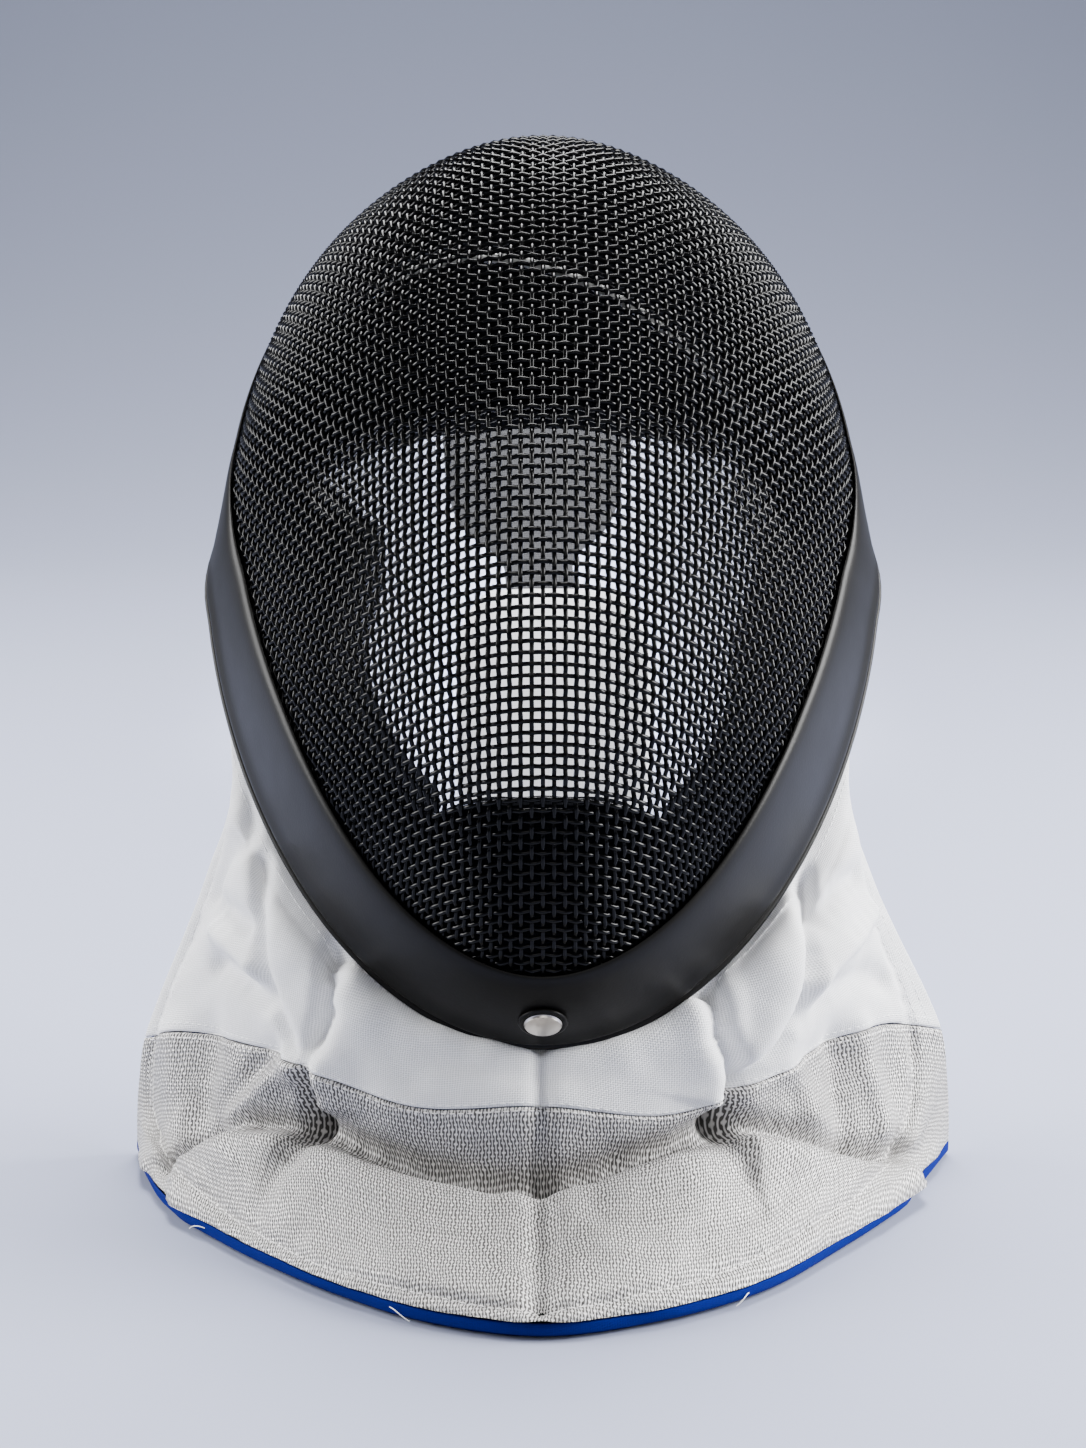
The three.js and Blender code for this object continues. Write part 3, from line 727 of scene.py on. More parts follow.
@dataclass(frozen=True)
class RimFrame:
    """Frames round the rim: edge points, up the wall, along the rim and outwards."""

    bowl: Bowl
    theta: Array
    points: Array
    arc: Array
    edge: Array
    up: Array
    along: Array
    out: Array

    @classmethod
    def at(cls, bowl: Bowl, theta: Array) -> "RimFrame":
        """Frames at turns round the rim.

        Args:
            bowl: The bowl.
            theta: Turns, 0 at the chin.

        Returns:
            The frames.
        """
        points, arc = bowl.meridians(theta)
        edge = points[:, 0]
        up = unit(along_lines(points, arc, 5.0) - edge)
        ahead = bowl.meridians(theta + 0.02, 8)[0][:, 0]
        behind = bowl.meridians(theta - 0.02, 8)[0][:, 0]
        along = unit(ahead - behind)
        return cls(bowl, theta, points, arc, edge, up, along, unit(np.cross(along, up)))

    def skin(self, s: Array, off: Array) -> Array:
        """Points over the mesh.

        Args:
            s: Arc distance from the mesh's edge.
            off: Distance out of the mesh.

        Returns:
            One point for each turn.
        """
        low = along_lines(self.points, self.arc, np.maximum(0, s - 2))
        up = unit(along_lines(self.points, self.arc, s + 2) - low)
        raised = np.broadcast_to(off, (len(self.theta),))[:, None]
        return along_lines(self.points, self.arc, s) + raised * unit(np.cross(self.along, up))

    def bead(self, s: float, off: float) -> Array:
        """Points beyond the edge in the flat frame of the edge."""
        return self.edge + s * self.up + off * self.out


@dataclass(frozen=True)
class WireNet:
    """Woven wires over the bowl: a net with the same pitch both ways everywhere.

    Rows and columns start from the centre line and from a level row, and every other crossing
    lies a pitch from two neighbours: |p - left| = |p - below| = pitch.
    """

    bowl: Bowl
    pitch: float = 3.25
    radius: float = 0.74
    crimp: float = 0.55
    start_b: float = 110.0
    sides: int = 6

    def surface(self, t: Array, psi: Array) -> Array:
        """Point of the bowl with b = middle - half span x cos t and q = sin psi."""
        return self.bowl.point(self.bowl.rim_b(t), np.sin(psi))

    def steps(self, line: object, low: float, high: float) -> Array:
        """Parameters of places a pitch apart along a line of the surface.

        Args:
            line: Function from parameters to points.
            low: First parameter.
            high: Last parameter.

        Returns:
            The parameters.
        """
        at = np.linspace(low, high, 4000)
        points = line(at)
        arc = arc_length(points)
        return np.interp(np.arange(0, arc[-1], self.pitch), arc, at)

    def solve(self, t: Array, psi: Array, first: Array, second: Array) -> tuple[Array, Array, Array]:
        """Newton's steps for the crossing a pitch from two known ones.

        Args:
            t: First guess.
            psi: First guess.
            first: One known crossing.
            second: The other.

        Returns:
            t, psi and how far off the distances still are.
        """
        h = 1e-5
        for _ in range(12):
            here = self.surface(t, psi)
            dt = (self.surface(t + h, psi) - self.surface(t - h, psi)) / (2 * h)
            dp = (self.surface(t, psi + h) - self.surface(t, psi - h)) / (2 * h)
            a, b = here - first, here - second
            fa, fb = (a**2).sum(1) - self.pitch**2, (b**2).sum(1) - self.pitch**2
            a1, a2 = 2 * (a * dt).sum(1), 2 * (a * dp).sum(1)
            b1, b2 = 2 * (b * dt).sum(1), 2 * (b * dp).sum(1)
            det = a1 * b2 - a2 * b1
            det = np.where(np.abs(det) < 1e-9, 1e-9, det)
            move_t, move_p = (fa * b2 - fb * a2) / det, (a1 * fb - b1 * fa) / det
            scale = np.maximum(1, np.maximum(np.abs(move_t) / 0.05, np.abs(move_p) / 0.08))
            t, psi = t - move_t / scale, psi - move_p / scale
        here = self.surface(t, psi)
        off = sum(np.abs(np.linalg.norm(here - p, axis=1) - self.pitch) for p in (first, second))
        return t, psi, off

    def quadrant(self, column: Array, row: Array, t0: float) -> tuple[Array, Array]:
        """Crossings of one quarter of the net, front by front.

        Args:
            column: Values of t down the centre line.
            row: Values of psi along the level row.
            t0: t of the level row.

        Returns:
            t and psi of each crossing, by column then row, with nan where there is none.
        """
        t = np.full((len(row), len(column)), np.nan)
        psi = t.copy()
        t[:, 0], psi[:, 0], t[0], psi[0] = t0, row, column, 0
        for k in range(2, sum(t.shape) - 1):
            i = np.arange(max(1, k - t.shape[1] + 1), min(t.shape[0] - 1, k - 1) + 1)
            j = k - i
            known = np.isfinite(t[i - 1, j]) & np.isfinite(t[i, j - 1]) & np.isfinite(t[i - 1, j - 1])
            i, j = i[known], j[known]
            if not len(i):
                continue
            guess_t = t[i - 1, j] + t[i, j - 1] - t[i - 1, j - 1]
            guess_p = psi[i - 1, j] + psi[i, j - 1] - psi[i - 1, j - 1]
            first = self.surface(t[i - 1, j], psi[i - 1, j])
            second = self.surface(t[i, j - 1], psi[i, j - 1])
            new_t, new_p, off = self.solve(guess_t, guess_p, first, second)
            good = (off < 1e-3) & (new_p > 0) & (new_p < np.pi / 2) & (new_t > 0.02) & (new_t < np.pi - 0.02)
            t[i[good], j[good]], psi[i[good], j[good]] = new_t[good], new_p[good]
        return t, psi

    def lattice(self) -> tuple[Array, Array]:
        """All crossings and the bowl's normals there, by column then row.

        Returns:
            Points on the middle of the wall, and normals.
        """
        span = self.bowl.high - self.bowl.low
        t0 = math.acos(1 - 2 * (self.start_b - self.bowl.low) / span)
        centre = lambda at: self.surface(at, 0 * at)
        row = self.steps(lambda at: self.surface(t0 + 0 * at, at), 0.0, np.pi / 2 - 0.005)
        upper = self.quadrant(self.steps(centre, t0, np.pi - 0.02), row, t0)
        lower = self.quadrant(self.steps(centre, t0, 0.02), row, t0)
        t, psi = [np.concatenate([low[:, :0:-1], high], axis=1) for low, high in zip(lower, upper)]
        t = np.concatenate([t[:0:-1], t])
        psi = np.concatenate([-psi[:0:-1], psi])
        h = 1e-4
        dt = self.surface(t + h, psi) - self.surface(t - h, psi)
        dp = self.surface(t, psi + h) - self.surface(t, psi - h)
        normals = unit(np.cross(dp, dt))
        return self.surface(t, psi) - normals * self.bowl.wall / 2, normals

    def wires(self, points: Array, normals: Array, lift: Array) -> tuple[Array, Array]:
        """Wires along the second axis, lifted one way and the other at each crossing.

        Args:
            points: Crossings.
            normals: Normals there.
            lift: 1 or -1 at each crossing.

        Returns:
            Points and faces of the wires.
        """
        at_cross = points + normals * (lift * self.crimp)[..., None]
        path = np.full((points.shape[0], points.shape[1] * 2 - 1, 3), np.nan)
        facing = path.copy()
        path[:, ::2], facing[:, ::2] = at_cross, normals
        path[:, 1::2] = (points[:, 1:] + points[:, :-1]) / 2
        facing[:, 1::2] = (normals[:, 1:] + normals[:, :-1]) / 2
        return tubes(path, facing, self.radius, self.sides)

    def build(self, finish: Finish) -> list:
        """Build the wires in four pieces, columns left and right, rows low and high.

        Args:
            finish: Finish of the wires.

        Returns:
            The pieces.
        """
        points, normals = self.lattice()
        columns, rows = points.shape[:2]
        turn = (-1.0) ** (np.arange(columns)[:, None] + np.arange(rows)[None, :])
        material = finish.material()
        half, mid = columns // 2, int(rows * 0.47)
        across = points.transpose(1, 0, 2), normals.transpose(1, 0, 2), -turn.T
        sets = {
            "wire_columns_left": [part[:half] for part in (points, normals, turn)],
            "wire_columns_right": [part[half:] for part in (points, normals, turn)],
            "wire_rows_low": [part[:mid] for part in across],
            "wire_rows_high": [part[mid:] for part in across],
        }
        made = []
        for name, parts in sets.items():
            obj = mesh_piece(name, *self.wires(*parts), material)
            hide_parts("wire_mesh")
            made.append(obj)
        return made


# Trim band and rivet


@dataclass(frozen=True)
class TrimBand:
    """Rubber band round the mesh's edge, with a rolled bead and a short leg inside."""

    bowl: Bowl
    skin: float = 2.0
    bead: float = 4.4
    skin_over_ears: float = 1.15
    bead_over_ears: float = 1.9
    thin_from: float = 150.0
    thin_to: float = 195.0
    gap: float = 0.6
    turns: int = 240
    places: tuple = (0, 60, 110, 165, 215, 300)
    widths: tuple = (31, 36, 35, 29, 21, 16)

    def sections(self, rim: RimFrame) -> Array:
        """Control points of each section, in turn round it.

        Args:
            rim: Frames round the rim.

        Returns:
            Points by place along the rim, then round the section.
        """
        place = self.bowl.rim_b(rim.theta)
        width = smooth_table(self.places, self.widths, place)
        thin = smooth_step(self.thin_from, self.thin_to, place)
        top = self.gap + self.skin + (self.skin_over_ears - self.skin) * thin
        share = (1 + (self.bead_over_ears / self.bead - 1) * thin)[:, None]
        under = self.bowl.wall + 0.35
        roll = lambda s, off: rim.edge + s * rim.up + off * self.bead / 4.4 * share * rim.out
        lean = unit(along_lines(rim.points, rim.arc, width * 0.33) - rim.edge)
        inward = unit(np.cross(lean, rim.along))
        leg = lambda s, depth: rim.edge + s * lean + depth * inward
        skin = rim.skin
        line = [
            skin(width - 0.3, self.gap), skin(width, self.gap + 0.2), skin(width - 0.1, self.gap + 0.7),
            skin(width - 1.6, top - 0.25), skin(width * 0.8, top + 0.1), skin(width * 0.55, top + 0.15),
            skin(width * 0.3, top + 0.2), skin(4.2, top + 0.3), roll(1.0, 3.7), roll(-0.6, 4.05),
            roll(-1.5, 3.7), roll(-1.9, 3.1), roll(-2.3, 3.1), roll(-2.7, 4.0), roll(-3.6, 4.35),
            roll(-4.9, 3.7), roll(-5.8, 2.1), roll(-6.1, 0.4), rim.bead(-5.9, -1.6), rim.bead(-4.6, -3.5),
            rim.bead(-2.5, -4.3), leg(2.5, under + 1.9), leg(6.4, under + 1.8), leg(7.0, under + 1.3),
            leg(6.9, under + 0.6), leg(3.0, under + 0.5), leg(-0.3, under + 0.4), rim.bead(-0.45, 0),
            skin(width * 0.12, self.gap), skin(width * 0.33, self.gap), skin(width * 0.66, self.gap),
        ]
        return np.stack(line, axis=1)

    def build(self, finish: Finish) -> bpy.types.Object:
        """Build the band: each section is a closed cubic B-spline of its control points.

        Args:
            finish: Finish of the rubber.

        Returns:
            The piece.
        """
        theta = np.arange(self.turns) / self.turns * 2 * np.pi
        control = self.sections(RimFrame.at(self.bowl, theta))
        parts = []
        for t in (0, 0.34, 0.67):
            weights = [(1 - t) ** 3 / 6, (3 * t**3 - 6 * t**2 + 4) / 6,
                       (-3 * t**3 + 3 * t**2 + 3 * t + 1) / 6, t**3 / 6]
            parts.append(sum(w * np.roll(control, 1 - k, axis=1) for k, w in enumerate(weights)))
        ring = np.stack(parts, axis=2).reshape(self.turns, -1, 3)
        count = ring.shape[1]
        closed = np.concatenate([ring, ring[:1]])
        faces = quads(self.turns + 1, count, wrap=True) % (self.turns * count)
        obj = mesh_piece("trim_rubber_band", closed[:-1], faces, finish.material())
        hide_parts("trim_band")
        return obj


@dataclass(frozen=True)
class Rivet:
    """Domed rivet at the chin on a rubber seat."""

    bowl: Bowl
    radius: float = 5.7
    dome: float = 1.6
    rim: float = 0.55
    washer: float = 7.2
    s: float = 12.5
    seat: float = 2.95

    def turned(self, profile: list, centre: Array, axis: Array, side: Array,
               sides: int = 48) -> tuple[Array, Array]:
        """Turn a profile of radius and height about an axis.

        Args:
            profile: Pairs of radius and height.
            centre: Foot of the axis.
            axis: Its direction.
            side: A direction square to it.
            sides: Corners round it.

        Returns:
            Points and faces.
        """
        angle = np.arange(sides) / sides * 2 * np.pi
        other = np.cross(axis, side)
        round_ = np.cos(angle)[:, None] * side + np.sin(angle)[:, None] * other
        rows = [centre + height * axis + radius * round_ for radius, height in profile]
        return np.concatenate(rows), quads(len(profile), sides, wrap=True)

    def build(self, cap: Finish, seat: Finish) -> list:
        """Build the cap and its seat.

        Args:
            cap: Finish of the metal.
            seat: Finish of the rubber.

        Returns:
            The pieces.
        """
        rim = RimFrame.at(self.bowl, np.array([0.0]))
        foot = rim.skin(np.array([self.s]), self.seat + 0.45)[0]
        low, high = rim.skin(np.array([self.s - 2]), 0)[0], rim.skin(np.array([self.s + 2]), 0)[0]
        side = rim.along[0]
        axis = unit(np.cross(side, high - low))
        dome = [(0.001, 0.3), (self.radius - 0.5, 0.3), (self.radius, 0.55), (self.radius, self.rim + 0.05),
                (self.radius - 0.25, self.rim + 0.32)]
        share = np.linspace(0.93, 0.001, 9)
        dome += [(self.radius * r, self.rim + 0.35 + (self.dome - 0.75) * math.sqrt(1 - (r * 0.98) ** 2))
                 for r in share]
        ring = [(self.radius - 1, -0.3), (self.washer + 0.3, -0.3), (self.washer, 0.25),
                (self.washer - 0.6, 0.62), (self.radius + 0.45, 0.45), (self.radius + 0.1, 0.2),
                (self.radius - 1, 0.2)]
        top = mesh_piece("rivet_cap", *self.turned(dome, foot, axis, side), cap.material(), sharp=40)
        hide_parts("chin_rivet")
        base = mesh_piece("rivet_seat", *self.turned(ring, foot, axis, side), seat.material())
        return [top, base]


# Pads and tongue


@dataclass(frozen=True)
class Pad:
    """Foam pad against the inside of the bowl, its edges as functions of q or of b."""

    name: str
    low: Callable[[Array], Array]
    high: Callable[[Array], Array]
    q_low: Callable[[Array], Array]
    q_high: Callable[[Array], Array]
    thickness: float
    fill: float = 0.7


@dataclass(frozen=True)
class Pads:
    """All five pads, longer at their ends than the solids so that no light shows beside them."""

    bowl: Bowl
    gap: float = 1.2
    edge: float = 3.2
    cheek_b: tuple = (47, 56, 70, 92, 109, 120, 138, 147, 158, 172)
    cheek_left: tuple = (0.54, 0.58, 0.66, 0.70, 0.67, 0.60, 0.57, 0.64, 0.68, 0.70)
    cheek_right: tuple = (0.62, 0.67, 0.73, 0.76, 0.73, 0.73, 0.76, 0.72, 0.64, 0.66)
    slot_width: float = 7.0
    # Ends, depth and radius of the pale tube that paints the light showing through the slot over the forehead
    # pad.
    slot_light_ends: tuple = (-0.72, 0.86)
    slot_light_depth: float = 3.6
    slot_light_radius: float = 1.5
    rows: int = 40
    columns: int = 60

    def forehead_low(self, q: Array) -> Array:
        """Lower edge of the forehead pad: 155 + 24 q^2."""
        return 155 + 24 * q * q

    def forehead_high(self, q: Array) -> Array:
        """Its upper edge: a slanted bow, and at least 8 mm over the lower edge."""
        slanted = 207.5 - 45.5 * q - 33 * q * q - 35 * np.minimum(0, q) ** 2
        return np.maximum(slanted, self.forehead_low(q) + 8)

    def shapes(self) -> list[Pad]:
        """The five pads as sizes.

        Returns:
            The forehead pad, the crown pad, both cheek pads and the chin pad.
        """
        even = lambda value: lambda b: value + 0 * b
        left = lambda b: -smooth_table(self.cheek_b, self.cheek_left, b)
        right = lambda b: smooth_table(self.cheek_b, self.cheek_right, b)
        over_forehead = lambda q: self.forehead_high(q) + self.slot_width
        crown_back = lambda q: 272 - 14 * q * q
        chin_low = lambda q: 6.5 + 14 * q * q
        chin_high = lambda q: 44.5 + 4 * smooth_step(0.1, 0.5, np.abs(q))
        temple = lambda q: self.forehead_low(q) - 2
        return [
            Pad("forehead_pad", self.forehead_low, self.forehead_high, even(-0.95), even(0.95), 13),
            Pad("crown_pad", over_forehead, crown_back, even(-0.95), even(0.95), 9),
            Pad("cheek_pad_left", even(49), temple, even(-0.95), left, 13),
            Pad("cheek_pad_right", even(49), temple, right, even(0.95), 13),
            Pad("chin_pad", chin_low, chin_high, even(-0.93), even(0.93), 12),
        ]

    def build_one(self, pad: Pad, material: bpy.types.Material) -> bpy.types.Object:
        """Build a pad: its back follows the bowl and its face swells by sqrt((1 - v^5)(1 - u^5)).

        Args:
            pad: Its sizes.
            material: Its material.

        Returns:
            The piece.
        """
        i, j = np.meshgrid(np.arange(self.rows + 1), np.arange(self.columns + 1), indexing="ij")
        share, across = (1 - np.cos(i / self.rows * np.pi)) / 2, (1 - np.cos(j / self.columns * np.pi)) / 2
        v, u = i / self.rows * 2 - 1, j / self.columns * 2 - 1
        swell = np.sqrt(np.maximum(0, (1 - np.abs(v) ** 5) * (1 - np.abs(u) ** 5)))
        middle = np.full(u.shape, 0.5)
        q0 = pad.q_low(middle) + (pad.q_high(middle) - pad.q_low(middle)) * across
        b = pad.low(q0) + (pad.high(q0) - pad.low(q0)) * share
        q = pad.q_low(b) + (pad.q_high(b) - pad.q_low(b)) * across
        depth = self.bowl.wall + self.gap
        ripple = 0.35 * soft_noise(b, q * 90, 11, SEED)
        face = depth + self.edge + (pad.thickness - self.edge + ripple) * swell
        outer = self.bowl.inset(b, q, np.full(b.shape, depth))
        inner = self.bowl.inset(b, q, face)
        points, faces = wall(outer, inner)
        uv = np.stack([q * 90, b], axis=-1).reshape(-1, 2)
        obj = mesh_piece(f"{pad.name}_foam", points, faces, material, uv=np.concatenate([uv, uv]), sharp=60)
        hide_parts(pad.name)
        return obj

    def slot_light_tube(self, finish: Finish) -> bpy.types.Object:
        """Pale tube in the slot between the forehead pad and the crown pad: painted light, standing in for
        the light that shows through the gap between the pads.

        Args:
            finish: Its finish.

        Returns:
            The piece.
        """
        q = np.linspace(*self.slot_light_ends, 120)
        b = self.forehead_high(q) + self.slot_width / 2
        path = self.bowl.inset(b, q, self.slot_light_depth + 0 * q)
        out = unit(self.bowl.point(b, q) - path)
        points, faces = tubes(path[None], out[None], self.slot_light_radius, 12)
        obj = mesh_piece("forehead_slot_light_tube", points, faces, finish.material())
        return obj

    def build(self, finish: Finish, slot_light_tube: Finish) -> list:
        """Build every pad in one finish, and in another the pale tube that paints the light showing through
        the slot.
        """
        material = finish.material()
        return [self.build_one(pad, material) for pad in self.shapes()] + [self.slot_light_tube(slot_light_tube)]


@dataclass(frozen=True)
class Tongue:
    """Rear tongue: a covered spring strip, wide at the top, and the padded plate at its end."""

    thickness: float = 3.0
    y: tuple = (107.8, 112.5, 114.6, 112.5, 108.5, 105, 101.7, 99, 97.1, 95.5, 94)
    z: tuple = (301.6, 298.2, 291.5, 274, 248, 226, 200, 186, 174, 150, 128)
    half: tuple = (14, 18, 24, 32, 33, 31.5, 27, 13, 12.5, 12.5, 12.5)
    centre: tuple = (0, 0, 0, 0, -1, -3, -3, -2, 0, 3, 3.5)
    plate_top: float = 177.0
    plate_bottom: float = 88.0
    plate_half: float = 33.5
    plate_centre: float = 3.5
    plate_thickness: float = 11.0
    plate_lean: float = 0.07
    plate_front: float = 85.0

    def strap(self) -> tuple[Array, Array, Array]:
        """The strip: rows down it, bowed by 1.5 (1 - share^2) across.

        Returns:
            Points, faces and cloth coordinates.
        """
        keys = np.linspace(0, 1, len(self.y))
        t, share = np.meshgrid(np.linspace(0, 1, 120), np.linspace(-1, 1, 33), indexing="ij")
        read = lambda column, at: smooth_table(keys, column, at)
        ahead, behind = np.minimum(1, t + 0.02), np.maximum(0, t - 0.02)
        dy = read(self.y, ahead) - read(self.y, behind)
        dz = read(self.z, ahead) - read(self.z, behind)
        normal = unit(np.stack([0 * dy, dz, -dy], axis=-1))
        x = read(self.centre, t) + share * read(self.half, t)
        middle = np.stack([x, read(self.y, t) + 1.5 * (1 - share**2), read(self.z, t)], axis=-1)
        half = self.thickness / 2 * (1 - 0.6 * np.abs(share) ** 10)
        points, faces = wall(middle + normal * half[..., None], middle - normal * half[..., None])
        uv = np.stack([x, read(self.z, t)], axis=-1).reshape(-1, 2)
        return points, faces, np.concatenate([uv, uv])

    def plate(self) -> tuple[Array, Array, Array]:
        """The padded plate: swollen by ((1 - u^6)(1 - v^6))^0.5 and bowed round the head.

        Returns:
            Points, faces and cloth coordinates.
        """
        ends_close = lambda count: -np.cos(np.linspace(0, np.pi, count))
        v, u = np.meshgrid(ends_close(60), ends_close(48), indexing="ij")
        width = self.plate_half * (1 - np.abs(v) ** 5 * 0.35)
        z = self.plate_bottom + (self.plate_top - self.plate_bottom) * (1 + v) / 2
        y = self.plate_front + (z - self.plate_bottom) * self.plate_lean - 4 * u * u
        swell = np.sqrt(np.maximum(0, (1 - np.abs(u) ** 6) * (1 - np.abs(v) ** 6)))
        x = self.plate_centre + u * width
        half = 1.2 + (self.plate_thickness / 2 - 1.2) * swell + 0.25 * soft_noise(x, z, 9, SEED) * swell
        points, faces = wall(np.stack([x, y - half, z], axis=-1), np.stack([x, y + half, z], axis=-1))
        uv = np.stack([x, z], axis=-1).reshape(-1, 2)
        return points, faces, np.concatenate([uv, uv])

    def build(self, strap: Finish, plate: Finish) -> list:
        """Build the strip and the plate.

        Args:
            strap: Finish of the strip's cover, whose dark grey is painted shade.
            plate: Finish of the plate's cover.

        Returns:
            The pieces.
        """
        points, faces, uv = self.strap()
        strip = mesh_piece("tongue_strip", points, faces, strap.material(), uv=uv, sharp=50)
        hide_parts("tongue_strap")
        points, faces, uv = self.plate()
        pad = mesh_piece("tongue_plate_pad", points, faces, plate.material(), uv=uv)
        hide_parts("tongue_plate")
        return [strip, pad]


# Bib


@dataclass(frozen=True)
class Section:
    """Guide points of the bib at one place from ear to ear, as the CAD source has them."""

    u: float
    rim: float
    waist: tuple
    hip: tuple
    seam: tuple
    throat: tuple
    brow: tuple
    hem: tuple


SECTIONS = (
    Section(-1.00, 135, (-100.5, 22.5, 124), (-110, 23, 94), (-131, 18.5, 40), (-133.2, 17, 26),
            (-134, 16.5, 12), (-134, 16)),
    Section(-0.80, 103, (-100, 5, 116), (-106, 6, 84), (-114, 3, 47), (-115, -12, 15), (-119, -22, 9.5),
            (-121, -29)),
    Section(-0.60, 72, (-90, -16, 99), (-93, -17.5, 76), (-93, -22, 51), (-92, -37, 30), (-96, -56, 13),
            (-98, -62)),
    Section(-0.40, 42, (-72, -35, 83), (-74.5, -39.5, 68), (-71.5, -46, 52), (-68, -50, 32), (-67, -86, 13),
            (-69, -93)),
    Section(-0.20, 14, (-38.5, -53, 66), (-40, -57, 56), (-38, -61, 44.5), (-35, -68, 25), (-34, -111, 13),
            (-36, -119)),
    Section(0.00, 4, (0, -57.5, 59), (0, -61, 53), (0, -66, 46), (0, -74, 22.5), (0, -121, 12), (0, -130)),
    Section(0.20, 14, (37.5, -53, 65), (38.5, -57, 54), (36, -60.5, 41.5), (32, -66, 29.5), (33, -111, 13),
            (35, -119)),
    Section(0.40, 42, (70, -35.5, 81), (70, -42, 63), (63, -49, 46), (58, -54, 33.5), (62, -92, 13.5),
            (64, -99)),
    Section(0.60, 72, (89, -16, 98), (91, -18.5, 75), (88, -22, 50.5), (84, -40, 28), (85, -66, 12.5),
            (87, -71)),
    Section(0.80, 103, (98, 5, 115), (103, 6, 83), (110, 2, 50), (110, -17, 16), (111, -27, 9.5),
            (112, -33)),
    Section(1.00, 135, (98.5, 22.5, 124), (107.5, 23, 94), (131, 18.5, 43), (133.2, 17, 28),
            (134, 16.5, 12), (134, 16)),
)


class Side(Enum):
    """Which side of a fold's line its lip swells on: none, down the bib, or towards either ear."""

    NONE = 0
    BELOW = 1
    RIGHT = 2
    LEFT = 3


@dataclass(frozen=True)
class Fold:
    """A crease or ridge along a line of (u, v) places, with a swollen lip on one side.

    The crease is depth x exp(-(d / width)^2) and the lip is lip x (s / r) exp(1 - s / r), where d is
    the distance to the line, s the same distance on the lip's side and r the lip's reach.
    """

    name: str
    line: tuple
    depth: float
    width: float
    lip: float = 0.0
    reach: float = 6.0
    side: Side = Side.NONE


